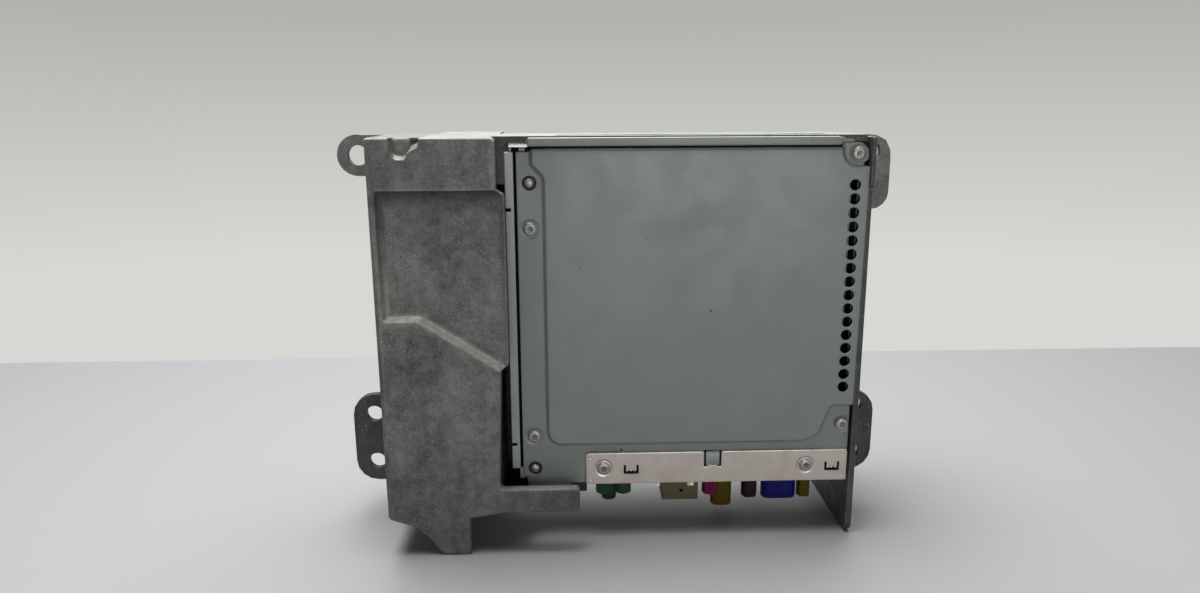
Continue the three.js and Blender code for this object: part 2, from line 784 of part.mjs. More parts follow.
// The right side plate stands on its lower edge and carries the two right ears.
function rightSideCasting() {
  const top = bodyHeight - topEar.capDrop;
  const stepZ = bodyHeight - sidePlate.stepDown;
  const edge = overEars / 2;
  const holeX = edge - rightEar.inset;
  const plate = plateX(outline([
    [sidePlate.topFront, top],
    [sidePlate.topFront, stepZ],
    [sidePlate.front, stepZ - sidePlate.stepSlope],
    [sidePlate.front, 0, sidePlate.toe],
    [bodyDepth, 0, sidePlate.foot],
    [bodyDepth, top],
  ]), sidePlateInner, sidePlateOuter);
  const flange = box(
    [frameRight - sideFlange.width, sidePlateInner + overrun],
    [sinkFront, sinkFront + sideFlange.thick],
    [sideFlange.bottom, sideFlangeTop],
  );
  const highEar = plateY(outline([
    [sidePlateOuter - overrun, top - topEar.tall],
    [edge, top - topEar.tall, topEar.footCorner],
    [edge, top, topEar.capCorner],
    [sidePlateOuter - overrun, top],
  ]), earFront, baseBack, [[holeX, bodyHeight - topEar.drop, topEar.hole]]);
  const lowEar = plateY(outline([
    [sidePlateOuter - overrun, rightEar.bottom],
    [edge, rightEar.bottom, rightEar.corner],
    [edge, rightEar.top, rightEar.corner],
    [sidePlateOuter - overrun, rightEar.top],
  ]), earFront, baseBack, [rightEar.holeLow, rightEar.holeHigh].map((z) => [holeX, z, rightEar.hole]));
  const flangeBack = sinkFront + sideFlange.thick;
  const holes = sideScrewHeights.map((z) =>
    rodY(sideScrewX, z, head.shank + gap, sinkFront - overrun, flangeBack + overrun, smallSides));
  return cut(joined([plate, flange, highEar, lowEar]), holes);
}

function heatSink() {
  const right = frameRight - sideFlange.width - gap;
  const plate = box([sinkLeft, right], [sinkFront, sinkFront + sink.plate], [sink.bottom, sinkTop]);
  const pitch = (right - sinkLeft - sink.fin) / (sink.fins - 1);
  const fins = Array.from({ length: sink.fins }, (_, i) => {
    const left = sinkLeft + i * pitch;
    return box([left, left + sink.fin], [sinkFront + sink.plate / 2, sinkBack], [sink.bottom, sinkTop]);
  });
  return joined([plate, ...fins]);
}

// Case

// The raised field of the lid, drawn in by a sheet's thickness for its hollow back.
function lidField(inset) {
  const left = lid.left + plateau.edgeIn + inset;
  const knee = lid.left + plateau.kneeIn + inset;
  const top = lid.top - inset;
  const right = lid.right - inset;
  const bottom = lid.bottom + plateau.bottomRise + inset;
  return outline([
    [left, top],
    [left, lid.top - plateau.topDrop],
    [knee, lid.top - plateau.kneeDrop],
    [knee, bottom, plateau.corner],
    [lid.right - plateau.rampStart, bottom, plateau.cutCorner],
    [lid.right - plateau.rampEnd - inset, bottom + plateau.rampRise, plateau.cutCorner],
    [lid.right - plateau.shoulderIn - inset, bottom + plateau.shoulderRise],
    [lid.right - plateau.stepIn - inset, lid.stepHeight + inset],
    [right, lid.stepHeight + inset],
    [right, lid.top - plateau.cutDrop - inset],
    [lid.right - plateau.cutWidth - inset, lid.top - plateau.cutDrop - inset, plateau.cutCorner],
    [lid.right - plateau.cutWidth - inset, top],
  ]);
}

function caseLid() {
  const lowRight = lid.right - lid.stepIn;
  const border = outline([
    [lid.left, lid.bottom, lid.corner],
    [lowRight, lid.bottom],
    [lowRight, lid.stepHeight],
    [lid.right, lid.stepHeight],
    [lid.right, lid.top],
    [lid.left, lid.top],
  ]);
  const skirtBack = lidBorder + lid.skirt;
  const solids = [
    plateY(border, lidBorder, lidBorder + sheet),
    plateY(lidField(0), lid.front, lidBorder + sheet),
    box([lid.left + plateau.kneeIn, lid.right - plateau.cutWidth], [lidBorder, skirtBack],
      [lid.top - sheet, lid.top]),
    box([strip.notchLeft + gap, strip.notchLeft + strip.notchWidth - gap],
      [strip.front + gap, lidBorder + sheet], [strip.notchFloor + gap, strip.top - gap]),
  ];
  const vents = Array.from({ length: ventCount }, (_, i) =>
    [lid.right - vent.inset, lid.top - vent.topDrop - i * vent.pitch, vent.radius]);
  const past = [lid.front - overrun, lidBorder + sheet + overrun];
  const tools = [
    plateY(lidField(sheet), lid.front + sheet, lidBorder + sheet + overrun),
    ...[...vents, ...lidHoles].map(([x, z, radius]) => rodY(x, z, radius, ...past, smallSides)),
  ];
  return cut(joined(solids), tools);
}

const lidScrews = [
  [fixing.leftX, fixing.screwHigh],
  [fixing.leftX, fixing.screwLow],
  [fixing.rightTopX, fixing.rightTop],
  [fixing.rightLowX, fixing.rightLow],
];
const pinPlaces = [[fixing.leftX, fixing.pinHigh], [fixing.leftX, fixing.pinLow]];
const shankHole = head.shank + gap;
const lidHoles = [
  ...lidScrews.map(([x, z]) => [x, z, shankHole]),
  ...stripScrews.map((x) => [x, stripScrewZ, shankHole]),
  ...pinPlaces.map(([x, z]) => [x, z, pin.ringOut + gap / 2]),
];

function caseTray() {
  const flangeTop = tray.top - tray.flange;
  const flangeCut = [trayFront - overrun, trayIn.front + overrun];
  const shell = box([tray.left, tray.right], [trayFront, trayBack], [tray.bottom, tray.top]);
  const hollow = box([trayIn.left, trayIn.right], [trayIn.front, trayIn.back], [trayIn.bottom, trayIn.top]);
  const mouth = cut(
    box([tray.left + tray.flange, trayIn.right], flangeCut, [tray.bottom + tray.flange, flangeTop]),
    [box([tray.right - tray.flange, tray.right], flangeCut, [tray.tabBottom, tray.tabTop])],
  );
  const postX = [mainBoard.left + mainPostInset, mainBoard.right - mainPostInset];
  const postZ = [mainBoard.bottom + mainPostInset, mainBoard.top - mainPostInset];
  const posts = postX.flatMap((x) => postZ.map((z) =>
    rodY(x, z, mainBoard.post, mainBoardBack + gap, trayIn.back + sheet / 2, smallSides)));
  const bottomCut = [tray.bottom - overrun, trayIn.bottom + overrun];
  const windowDepth = [socketWindow.front, socketWindow.back];
  const tools = [
    hollow,
    mouth,
    slotTool(trayIn.top, tray.top),
    box([socketWindow.left, socketWindow.right], windowDepth, bottomCut),
    box([powerWindow.left, powerWindow.right], windowDepth, bottomCut),
    linkTool(tray.left, trayIn.left),
    ...lidScrews.map(([x, z]) => rodY(x, z, shankHole, ...flangeCut, smallSides)),
    ...stripScrews.map((x) => rodY(x, stripScrewZ, shankHole, ...flangeCut, smallSides)),
    ...pinPlaces.map(([x, z]) => rodY(x, z, pin.shank + gap, ...flangeCut, smallSides)),
  ];
  return joined([cut(shell, tools), ...posts]);
}

// The rail lies beside the lid and joggles back under the tray's side wall.
function sideRail() {
  const right = rail.left + rail.width;
  const webRight = tray.left - gap;
  const section = outline([
    [rail.left, lidBorder],
    [right, lidBorder],
    [right, lidBorder + rail.joggle],
    [webRight, lidBorder + rail.joggle],
    [webRight, rail.back],
    [webRight - sheet, rail.back],
    [webRight - sheet, lidBorder + rail.joggle + sheet],
    [right - sheet, lidBorder + rail.joggle + sheet],
    [right - sheet, lidBorder + sheet],
    [rail.left, lidBorder + sheet],
  ]);
  const notchDepth = [lidBorder - overrun, lidBorder + rail.joggle];
  const notches = railNotches.map((z) =>
    box([rail.left - overrun, rail.left + rail.notchIn], notchDepth, [z, z + rail.notch]));
  return cut(plateZ(section, rail.bottom, rail.top), [...notches, linkTool(webRight - sheet, webRight)]);
}

function topClip() {
  const near = lidBorder - clip.thick;
  const top = clip.top + clip.thick;
  return joined([
    box([clip.left, clip.right], [near, near + clip.depth], [clip.top, top]),
    box([clip.left, clip.left + clip.thick], [near, near + clip.depth], [rail.top + gap, top]),
    box([clip.right - clip.thick, clip.right], [near, topBar.back], [clip.top, clip.top + clip.hook]),
  ]);
}

function topEdgeBar() {
  const radius = (topBar.top - topBar.bottom) / 2;
  const barShape = outline([
    [topBar.left, topBar.bottom],
    [topBar.right, topBar.bottom, radius - gap],
    [topBar.right, topBar.top, radius - gap],
    [topBar.left, topBar.top],
  ]);
  return plateY(barShape, topBar.front, topBar.back);
}

function connectorStrip() {
  const notchRight = strip.notchLeft + strip.notchWidth;
  const face = plateY(outline([
    [strip.left, strip.bottom, strip.corner],
    [strip.right, strip.bottom, strip.corner],
    [strip.right, strip.top, strip.corner],
    [notchRight, strip.top, strip.corner],
    [notchRight, strip.notchFloor],
    [strip.notchLeft, strip.notchFloor],
    [strip.notchLeft, strip.top, strip.corner],
    [strip.left, strip.top, strip.corner],
  ]), strip.front, strip.front + sheet);
  const flange = box([strip.left + strip.corner, strip.right - strip.corner],
    [strip.front, strip.front + strip.flange], [strip.bottom, strip.bottom + sheet]);
  const tabHeight = [strip.bottom - strip.tabDrop, strip.bottom + sheet];
  const tabs = stripTabs.map((x) =>
    box([x, x + strip.tab], [strip.front, strip.front + sheet], tabHeight));
  const windows = stripWindows.map((x) =>
    box([x, x + strip.windowWidth], [strip.front - overrun, strip.front + sheet + overrun],
      [strip.windowBottom, strip.windowBottom + strip.windowHeight]));
  const lances = stripWindows.map((x) => {
    const third = strip.windowWidth / 3;
    return box([x + third, x + 2 * third], [strip.front, strip.front + sheet],
      [strip.windowBottom - sheet, strip.windowBottom + strip.windowHeight / 2]);
  });
  const holes = stripScrews.map((x) =>
    rodY(x, stripScrewZ, shankHole, strip.front - overrun, strip.front + sheet + overrun, smallSides));
  return cut(joined([cut(joined([face, flange, ...tabs]), windows), ...lances]), holes);
}

// Fasteners. The head's seat is at the given place along Y; a screw put in from behind is mirrored.
function screwSolid(x, seat, z, length, fromBehind = false) {
  const out = fromBehind ? -1 : 1;
  const top = seat - out * head.height;
  const profile = [
    [0, top],
    [head.radius - head.dome, top],
    [head.radius, top + out * head.dome],
    [head.radius, seat],
    [head.shank, seat],
    [head.shank, seat + out * length],
    [0, seat + out * length],
  ];
  const hollow = [top - out * overrun, top + out * head.socketDepth].sort((a, b) => a - b);
  return cut(turnedY(profile, x, z, smallSides), [rodY(x, z, head.socket, ...hollow, hexSides)]);
}

function pinSolid(x, z) {
  const front = lidBorder - pin.dome;
  return turnedY([
    [0, front],
    [pin.radius / 2, front + pin.dome / 4],
    [pin.radius, front + pin.dome],
    [pin.radius, lidBorder + sheet],
    [pin.shank, lidBorder + sheet],
    [pin.shank, lidBorder + sheet + pin.tail],
    [0, lidBorder + sheet + pin.tail],
  ], x, z, smallSides);
}

const ringSolid = (x, z) => turnedY([
  [pin.ringIn, lidBorder],
  [pin.ringOut, lidBorder],
  [pin.ringOut, lidBorder + sheet],
  [pin.ringIn, lidBorder + sheet],
  [pin.ringIn, lidBorder],
], x, z, smallSides);

// Boards

function mainBoardSolid() {
  const plate = rectangle([mainBoard.left, mainBoard.right], [mainBoard.bottom, mainBoard.top]);
  return plateY(plate, mainBoard.front, mainBoardBack);
}

function powerBoardSolid() {
  const plate = rectangle([powerBoard.left, powerBoard.right], [powerBoard.bottom, powerBoard.top]);
  return plateY(plate, powerBoardFront, powerBoardBack);
}

function canSolid(can, bottom) {
  const left = mainBoard.left + can.inset;
  const right = left + can.width;
  const top = bottom + can.tall;
  const far = mainBoard.front - gap;
  const near = far - can.height;
  const lidPlate = box([left, right], [near, near + sheet], [bottom, top]);
  const frame = cut(
    box([left, right], [near, far], [bottom, top]),
    [box([left + sheet, right - sheet], [near - overrun, far + overrun], [bottom + sheet, top - sheet])],
  );
  return joined([lidPlate, frame]);
}

function chipSolid() {
  const left = bayMiddle - chip.width / 2;
  const bottom = powerBoard.bottom + chip.rise;
  const height = [bottom, bottom + chip.height];
  return box([left, left + chip.width], [pocketBack + gap, powerBoardFront - gap], height);
}

function capacitorSolid(side) {
  const near = powerBoardBack + gap;
  const x = bayMiddle + side * capacitor.spread;
  return rodY(x, capacitorZ, capacitor.radius, near, near + capacitor.length, roundSides);
}

// A coded antenna socket: a sleeve that opens downwards, with a thin contact in it and a base on the board.
function sleeveSocket(x, row, bottom, halfWidth = sleeve.radius, mouths = [0]) {
  const stretch = halfWidth - sleeve.radius;
  const top = row === frontRow ? socketTop + sleeve.frontLift : socketTop;
  const body = stretch > 0
    ? plateZ(outline([
      [x - halfWidth, row - sleeve.radius, sleeve.radius - gap],
      [x + halfWidth, row - sleeve.radius, sleeve.radius - gap],
      [x + halfWidth, row + sleeve.radius, sleeve.radius - gap],
      [x - halfWidth, row + sleeve.radius, sleeve.radius - gap],
    ]), bottom, top)
    : rodZ(x, row, halfWidth, bottom, top, roundSides);
  const base = box([x - halfWidth + gap, x + halfWidth - gap], [row, mainBoard.front - gap],
    [top - sleeve.baseHeight, top]);
  const mouth = Math.min(sleeve.mouth, halfWidth - sheet);
  const bores = mouths.map((offset) =>
    rodZ(x + offset, row, mouth, bottom - overrun, bottom + sleeve.bore, smallSides));
  const contact = [bottom + sleeve.bore - sleeve.pinLength, bottom + sleeve.bore + overrun];
  const pins = mouths.map((offset) => rodZ(x + offset, row, sleeve.pin, ...contact, hexSides));
  return joined([cut(joined([body, base]), bores), ...pins]);
}

// A multi-way block socket: a box that opens downwards.
function blockSocket(x, row, bottom, halfWidth) {
  const y = [row - sleeve.radius, mainBoard.front - gap];
  const body = box([x - halfWidth, x + halfWidth], y, [bottom, socketTop]);
  const hollow = box([x - halfWidth + sheet, x + halfWidth - sheet], [y[0] + sheet, y[1] - sheet],
    [bottom - overrun, bottom + sleeve.bore]);
  return cut(body, [hollow]);
}

// Link between the boards, through the frame's wall, the rail and the tray
function linkRibbonSolid() {
  const z = [linkBottom + (linkOpening.height - ribbon.width) / 2,
    linkBottom + (linkOpening.height + ribbon.width) / 2];
  const near = powerBoardBack + gap;
  const far = mainBoard.front - gap;
  const turnX = powerBoard.right + ribbon.thick;
  return joined([
    box([turnX - ribbon.width, turnX], [near, near + ribbon.thick], z),
    box([turnX - ribbon.thick, turnX], [near, far], z),
    box([turnX - ribbon.thick, mainBoard.left + ribbon.width / 2], [far - ribbon.thick, far], z),
  ]);
}

// Disc drive

function motorSeat(left, y, z) {
  return box([left - gap, left + motor.length + motor.noseLength + gap],
    [deck.front - overrun, deckBack + overrun], [z - motor.seat, z + motor.seat]);
}

const gearSpacing = gear.module * (gear.rollerTeeth + gear.pinionTeeth) / 2;
const pinionY = roller.y + Math.sqrt(gearSpacing ** 2 - gear.drop ** 2);
const pinionZ = roller.z - gear.drop;
const loadingMotorLeft = gear.left - gap - motor.noseLength - motor.length;
const rodHeights = [disc.z - rods.spread, disc.z + rods.spread];
const rodPosts = [rodsLeft, rodsRight - rods.post];
const armHalf = clampArm.width / 2;
const barrelY = clampArm.front + clampArm.barrel - gap;

// The clamp arm's hinge bore, reaching the given distance above and below the disc's centre.
const pinBore = (reach) =>
  rodZ(pivotX, barrelY, hingePin.radius + gap, disc.z - reach, disc.z + reach, smallSides);

function driveDeck() {
  const plate = plateY(outline([
    [deck.cutRight, deck.bottom],
    [deckRight, deck.bottom],
    [deckRight, deck.top],
    [deckLeft, deck.top],
    [deckLeft, deck.cutTop],
    [deck.cutRight, deck.cutTop],
  ]), deck.front, deckBack);
  const lugs = [disc.z - armHalf - gap - lug.thick, disc.z + armHalf + gap].map((low) =>
    box([deckLeft, deckLeft + lug.reach], [deckFlange.left, lug.back], [low, low + lug.thick]));
  const post = (x, z) => box([x, x + rods.post], [sled.front, deck.front + deck.thick / 2],
    [z - rods.postHeight / 2, z + rods.postHeight / 2]);
  const posts = rodPosts.flatMap((x) => rodHeights.map((z) => post(x, z)));
  const ears = [rollerEar.left, rollerEar.right].map((x) =>
    box([x, x + rollerEar.thick], [roller.y - rollerEar.half, deckBack],
      [roller.z - rollerEar.half, roller.z + rollerEar.half]));
  const solids = [
    plate,
    box([deckLeft, deckLeft + deck.thick], [deckFlange.left, deckBack], [deckFlange.bottom, deck.flangeTop]),
    box([deckRight - deck.thick, deckRight], [deckFlange.right, deckBack],
      [deckFlange.rightBottom, deck.flangeTop]),
    ...lugs,
    ...posts,
    post(rodsRight - rods.post, leadScrew.z),
    ...ears,
  ];
  const gearRadius = gear.module * gear.rollerTeeth / 2 + gear.module;
  const railRun = [rodsLeft - overrun, rodsRight + overrun];
  const rollerRun = [rollerEar.left - overrun, rollerEar.right + rollerEar.thick + overrun];
  const tools = [
    rodY(disc.x, disc.z, tableNeck.hole, deck.front - overrun, deckBack + overrun, smallSides),
    motorSeat(sledMotorLeft, leadScrew.y, leadScrew.z),
    motorSeat(loadingMotorLeft, pinionY, pinionZ),
    box([gear.left - gap, gear.left + gear.width + gap], [deck.front - overrun, deckBack + overrun],
      [pinionZ - gearRadius, roller.z + gearRadius]),
    pinBore(clampArm.width),
    ...rodHeights.map((z) => rodX(rods.y, z, rods.radius + gap, ...railRun, smallSides)),
    rodX(leadScrew.y, leadScrew.z, leadScrew.journal + gap, ...railRun, smallSides),
    rodX(roller.y, roller.z, roller.shaft + gap, ...rollerRun, smallSides),
  ];
  return cut(joined(solids), tools);
}

const spindleFront = deckBack + gap;

function spindleMotor() {
  const back = spindleFront + spindle.length;
  return turnedY([
    [tableNeck.shaft + gap, spindleFront],
    [spindle.radius, spindleFront],
    [spindle.radius, back],
    [0, back],
    [0, spindleFront + spindle.boreDepth],
    [tableNeck.shaft + gap, spindleFront + spindle.boreDepth],
    [tableNeck.shaft + gap, spindleFront],
  ], disc.x, disc.z);
}

function turntable() {
  const seat = discBack + gap;
  const back = seat + table.thick;
  return turnedY([
    [0, seat - table.coneRise],
    [table.coneTip, seat - table.coneRise],
    [table.cone, seat - table.coneStraight],
    [table.cone, seat],
    [table.radius, seat],
    [table.radius, back],
    [tableNeck.radius, back],
    [tableNeck.radius, back + tableNeck.length],
    [tableNeck.shaft, back + tableNeck.length],
    [tableNeck.shaft, spindleFront + spindle.boreDepth - gap],
    [0, spindleFront + spindle.boreDepth - gap],
  ], disc.x, disc.z);
}

function clampArmSolid() {
  const tip = clampArm.tipWidth / 2;
  const blank = plateY(outline([
    [pivotX, disc.z - armHalf],
    [pivotX + armHalf, disc.z - armHalf],
    [disc.x, disc.z - tip],
    [disc.x, disc.z + tip],
    [pivotX + armHalf, disc.z + armHalf],
    [pivotX, disc.z + armHalf],
  ]), clampArm.front, clampArm.front + clampArm.thick);
  const back = clampArm.front + clampArm.thick;
  const ring = rodY(disc.x, disc.z, clampArm.ring, clampArm.front, back);
  const reach = [disc.z - armHalf, disc.z + armHalf];
  const barrel = rodZ(pivotX, barrelY, clampArm.barrel, ...reach, smallSides);
  return cut(joined([blank, ring, barrel]), [
    rodY(disc.x, disc.z, puck.neck + gap, clampArm.front - overrun, back + overrun),
    pinBore(armHalf + overrun),
  ]);
}

const hingePinSolid = () => rodZ(pivotX, barrelY, hingePin.radius,
  disc.z - armHalf - hingePin.overhang, disc.z + armHalf + hingePin.overhang, smallSides);

function clampPuck() {
  const capBack = clampArm.front - gap;
  const front = clampArm.front + clampArm.thick + gap;
  const back = front + puck.thick;
  return turnedY([
    [0, capBack - puck.capThick],
    [puck.cap, capBack - puck.capThick],
    [puck.cap, capBack],
    [puck.neck, capBack],
    [puck.neck, front],
    [puck.radius, front],
    [puck.radius, back],
    [puck.recess, back],
    [puck.recess, back - puck.recessDepth],
    [0, back - puck.recessDepth],
  ], disc.x, disc.z);
}

function pickupSled() {
  const lensX = disc.x + sled.lensStart;
  const x = [lensX - sled.halfWidth, lensX + sled.halfWidth];
  const top = rodHeights[1] + sled.ear;
  const body = box(x, [sled.front, sled.back], [rodHeights[0] - sled.ear, top]);
  const lens = rodY(lensX, disc.z, sled.lens, sled.front - sled.lensRise, sled.front + overrun, smallSides);
  const finger = box([lensX - sled.finger, lensX + sled.finger],
    [leadScrew.y - leadScrew.journal, leadScrew.y + leadScrew.journal],
    [top - overrun, leadScrew.z - leadScrew.radius - gap]);
  const bores = rodHeights.map((z) =>
    rodX(rods.y, z, rods.radius + gap, x[0] - overrun, x[1] + overrun, smallSides));
  return cut(joined([body, lens, finger]), bores);
}

function leadScrewSolid() {
  const start = sledMotorLeft + motor.length + motor.noseLength + gap;
  const pitch = (leadScrew.end - leadScrew.start) / leadScrew.rings;
  const profile = [[0, start], [leadScrew.journal, start], [leadScrew.journal, leadScrew.start]];
  for (let i = 0; i < leadScrew.rings; i += 1) {
    const left = leadScrew.start + i * pitch;
    profile.push(
      [leadScrew.core, left],
      [leadScrew.radius, left + pitch / 4],
      [leadScrew.radius, left + 3 * pitch / 4],
    );
  }
  profile.push(
    [leadScrew.core, leadScrew.end],
    [leadScrew.journal, leadScrew.end],
    [leadScrew.journal, leadScrew.tip],
    [0, leadScrew.tip],
  );
  return turnedX(profile, leadScrew.y, leadScrew.z, fewSides);
}

const motorSolid = (left, y, z) => turnedX([
  [0, left],
  [motor.radius, left],
  [motor.radius, left + motor.length],
  [motor.nose, left + motor.length],
  [motor.nose, left + motor.length + motor.noseLength],
  [0, left + motor.length + motor.noseLength],
], y, z, smallSides);

// A gear about an axis along X, with the middle of a tooth, or of a gap, towards the given angle.
function gearSolid(y, z, teeth, angle, toothThere) {
  const pitchRadius = gear.module * teeth / 2;
  const tip = pitchRadius + gear.module * gear.addendum;
  const root = pitchRadius - gear.module;
  const step = (2 * Math.PI) / teeth;
  const points = [];
  for (let i = 0; i < teeth; i += 1) {
    const middle = angle + (i + (toothThere ? 0 : 1 / 2)) * step;
    const corners = [
      [root, -toothShares.rootHalf],
      [tip, -toothShares.tipHalf],
      [tip, toothShares.tipHalf],
      [root, toothShares.rootHalf],
    ];
    corners.forEach(([radius, share]) => {
      const turn = middle + share * step;
      points.push(new THREE.Vector2(y + radius * Math.cos(turn), z + radius * Math.sin(turn)));
    });
  }
  return plateX(points, gear.left, gear.left + gear.width);
}

const meshAngle = Math.atan2(pinionZ - roller.z, pinionY - roller.y);

function feedRoller() {
  return joined([
    rodX(roller.y, roller.z, roller.radius, roller.left, roller.right, smallSides),
    rodX(roller.y, roller.z, roller.shaft, roller.shaftLeft, roller.shaftRight, smallSides),
    gearSolid(roller.y, roller.z, gear.rollerTeeth, meshAngle, true),
  ]);
}

const motorPinion = () => gearSolid(pinionY, pinionZ, gear.pinionTeeth, meshAngle + Math.PI, false);

// Bay cover and fan

function bayCover() {
  const plate = rectangle(
    [bodyLeft + cover.inset, bayRight - cover.inset],
    [bayFloor + cover.inset, bodyHeight - cover.inset],
  );
  const grille = coverRings.flatMap(({ radius, count }) =>
    Array.from({ length: count }, (_, i) => {
      const angle = (2 * Math.PI * i) / count;
      return [bayMiddle + radius * Math.cos(angle), fan.z + radius * Math.sin(angle), cover.hole, fewSides];
    }));
  const screwHoles = bossPlaces.map(([x, z]) => [x, z, shankHole, smallSides]);
  return plateY(plate, coverFront, coverFront + cover.thick, [...grille, ...screwHoles]);
}

const fanBack = bayBack;
const fanFront = fanBack - fan.depth;

function fanFrame() {
  const half = fan.size / 2;
  const square = rectangle([bayMiddle - half, bayMiddle + half], [fan.z - half, fan.z + half], fan.arm);
  const mountFront = fanBack - fan.mountThick;
  const arms = [0, 1, 2].map((i) => {
    const arm = new THREE.BoxGeometry(fan.bore, fan.mountThick, fan.arm);
    arm.translate(fan.bore / 2 + gap, fanBack - fan.mountThick / 2, 0);
    return solidOf(arm.rotateY((2 * Math.PI * i) / 3).translate(bayMiddle, 0, fan.z));
  });
  const ring = plateY(square, fanFront, fanBack, [[bayMiddle, fan.z, fan.bore]]);
  const mount = rodY(bayMiddle, fan.z, fan.mount, mountFront, fanBack);
  const bore = rodY(bayMiddle, fan.z, fan.shaft + gap, mountFront - overrun, fanBack - gap, smallSides);
  return cut(joined([ring, mount, ...arms]), [bore]);
}

function fanRotor() {
  const front = fanFront + gap;
  const back = fanBack - fan.mountThick - gap;
  const hub = turnedY([
    [0, front],
    [fan.hub, front],
    [fan.hub, back],
    [fan.shaft, back],
    [fan.shaft, back + fan.mountThick - gap],
    [0, back + fan.mountThick - gap],
  ], bayMiddle, fan.z);
  const blades = Array.from({ length: blade.count }, (_, i) => {
    const plate = new THREE.BoxGeometry(blade.tip - blade.root, blade.thick, blade.chord);
    plate.translate((blade.tip + blade.root) / 2, 0, 0);
    plate.rotateX(THREE.MathUtils.degToRad(blade.pitchDegrees));
    plate.rotateY((2 * Math.PI * i) / blade.count);
    return solidOf(plate.translate(bayMiddle, front + blade.set, fan.z));
  });
  return joined([hub, ...blades]);
}

// The pieces, from the frame inwards

piece("chassis_casting", chassisCasting(), castGrey);
piece("right_side_casting", rightSideCasting(), castGrey);
const sideScrewSeat = sinkFront + sideFlange.thick + gap;
sideScrewHeights.forEach((z, i) =>
  piece(`side_screw_${i + 1}`, screwSolid(sideScrewX, sideScrewSeat, z, screwLength.rear, true), steel));
piece("heat_sink", heatSink(), sinkGrey);
piece("bay_cover", bayCover(), caseGrey);
const coverScrewSeat = coverFront + cover.thick + gap;
bossPlaces.forEach(([x, z], i) =>
  piece(`cover_screw_${i + 1}`, screwSolid(x, coverScrewSeat, z, screwLength.rear, true), steel));
piece("fan_frame", fanFrame(), blackPlastic);
piece("fan_rotor", fanRotor(), blackPlastic);

piece("case_tray", caseTray(), caseGrey);
piece("case_lid", caseLid(), caseGrey);
piece("side_rail", sideRail(), caseGrey);
piece("top_clip", topClip(), zinc);
piece("top_edge_bar", topEdgeBar(), caseGrey);
piece("connector_strip", connectorStrip(), zinc);
lidScrews.forEach(([x, z], i) =>
  piece(`lid_screw_${i + 1}`, screwSolid(x, lidBorder - gap, z, screwLength.lid), steel));
stripScrews.forEach((x, i) =>
  piece(`strip_screw_${i + 1}`, screwSolid(x, strip.front - gap, stripScrewZ, screwLength.strip), steel));
pinPlaces.forEach(([x, z], i) => {
  piece(`damper_pin_${i + 1}`, pinSolid(x, z), steel);
  piece(`damper_ring_${i + 1}`, ringSolid(x, z), blackRubber);
});

piece("main_board", mainBoardSolid(), boardGreen);
piece("processor_shield", canSolid(shield, mainBoard.top - shield.drop - shield.tall), canSilver);
piece("tuner_can", canSolid(tuner, tunerBottom), canSilver);
piece("power_board", powerBoardSolid(), boardGreen);
piece("amplifier_chip", chipSolid(), ferrite);
piece("capacitor_1", capacitorSolid(-1), blackPlastic);
piece("capacitor_2", capacitorSolid(1), blackPlastic);
piece("link_ribbon", linkRibbonSolid(), ribbonWhite);

const sleeveSockets = [
  { name: "green_socket_1", x: greenX, row: frontRow, bottom: socketBottom.green, colour: 0x46603f },
  { name: "green_socket_2", x: green2X, row: frontRow, bottom: socketBottom.green, colour: 0x46603f },
  {
    name: "black_socket", x: blackX, row: backRow, bottom: socketBottom.black,
    half: socketHalf.black, colour: 0x101010,
  },
  { name: "magenta_socket", x: magentaX, row: frontRow, bottom: socketBottom.magenta, colour: 0x8c1e5a },
  {
    name: "yellow_socket", x: yellowX, row: backRow, bottom: socketBottom.yellow,
    half: socketHalf.yellow, colour: 0x6e5f14,
  },
  { name: "brown_socket", x: brownX, row: middleRow, bottom: socketBottom.brown, colour: 0x3c2828 },
  {
    name: "blue_socket", x: blueX, row: middleRow, bottom: socketBottom.blue,
    half: socketHalf.blue, mouths: [-blueMouth, blueMouth], colour: 0x0f1982,
  },
  {
    name: "olive_socket", x: oliveX, row: middleRow, bottom: socketBottom.olive,
    half: socketHalf.olive, colour: 0x6e5f14,
  },
];
const blockSockets = [
  { name: "beige_socket", x: beigeX, bottom: socketBottom.beige, half: socketHalf.beige, colour: 0x827d5f },
  { name: "power_socket", x: powerX, bottom: socketBottom.power, half: socketHalf.power, colour: 0x17181a },
];
sleeveSockets.forEach(({ name, x, row, bottom, half, mouths, colour }) =>
  piece(name, sleeveSocket(x, row, bottom, half, mouths), finish(colour, 0.5, 0)));
blockSockets.forEach(({ name, x, bottom, half, colour }) =>
  piece(name, blockSocket(x, middleRow, bottom, half), finish(colour, 0.5, 0)));

piece("drive_deck", driveDeck(), steel);
piece("spindle_motor", spindleMotor(), steel);
piece("turntable", turntable(), blackPlastic);
piece("clamp_arm", clampArmSolid(), steel);
piece("hinge_pin", hingePinSolid(), steel);
piece("clamp_puck", clampPuck(), paleMoulding);
piece("pickup_sled", pickupSled(), blackPlastic);
rodHeights.forEach((z, i) =>
  piece(`guide_rod_${i + 1}`, rodX(rods.y, z, rods.radius, rodsLeft, rodsRight, smallSides), steel));
piece("lead_screw", leadScrewSolid(), steel);
piece("sled_motor", motorSolid(sledMotorLeft, leadScrew.y, leadScrew.z), steel);
piece("feed_roller", feedRoller(), blackRubber);
piece("loading_motor", motorSolid(loadingMotorLeft, pinionY, pinionZ), steel);
piece("motor_pinion", motorPinion(), paleMoulding);

export default part;
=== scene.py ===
# %% [markdown]
# # A car radio's main unit
#
# The unit stands on its connector side, as in the photograph: a die-cast frame with a wing on the left, a
# sheet-steel case with a painted lid, a zinc connector strip and a row of coloured sockets under it.
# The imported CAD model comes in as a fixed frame. Everything made here lies in that frame, in metres.

# %% Load the frame
import math

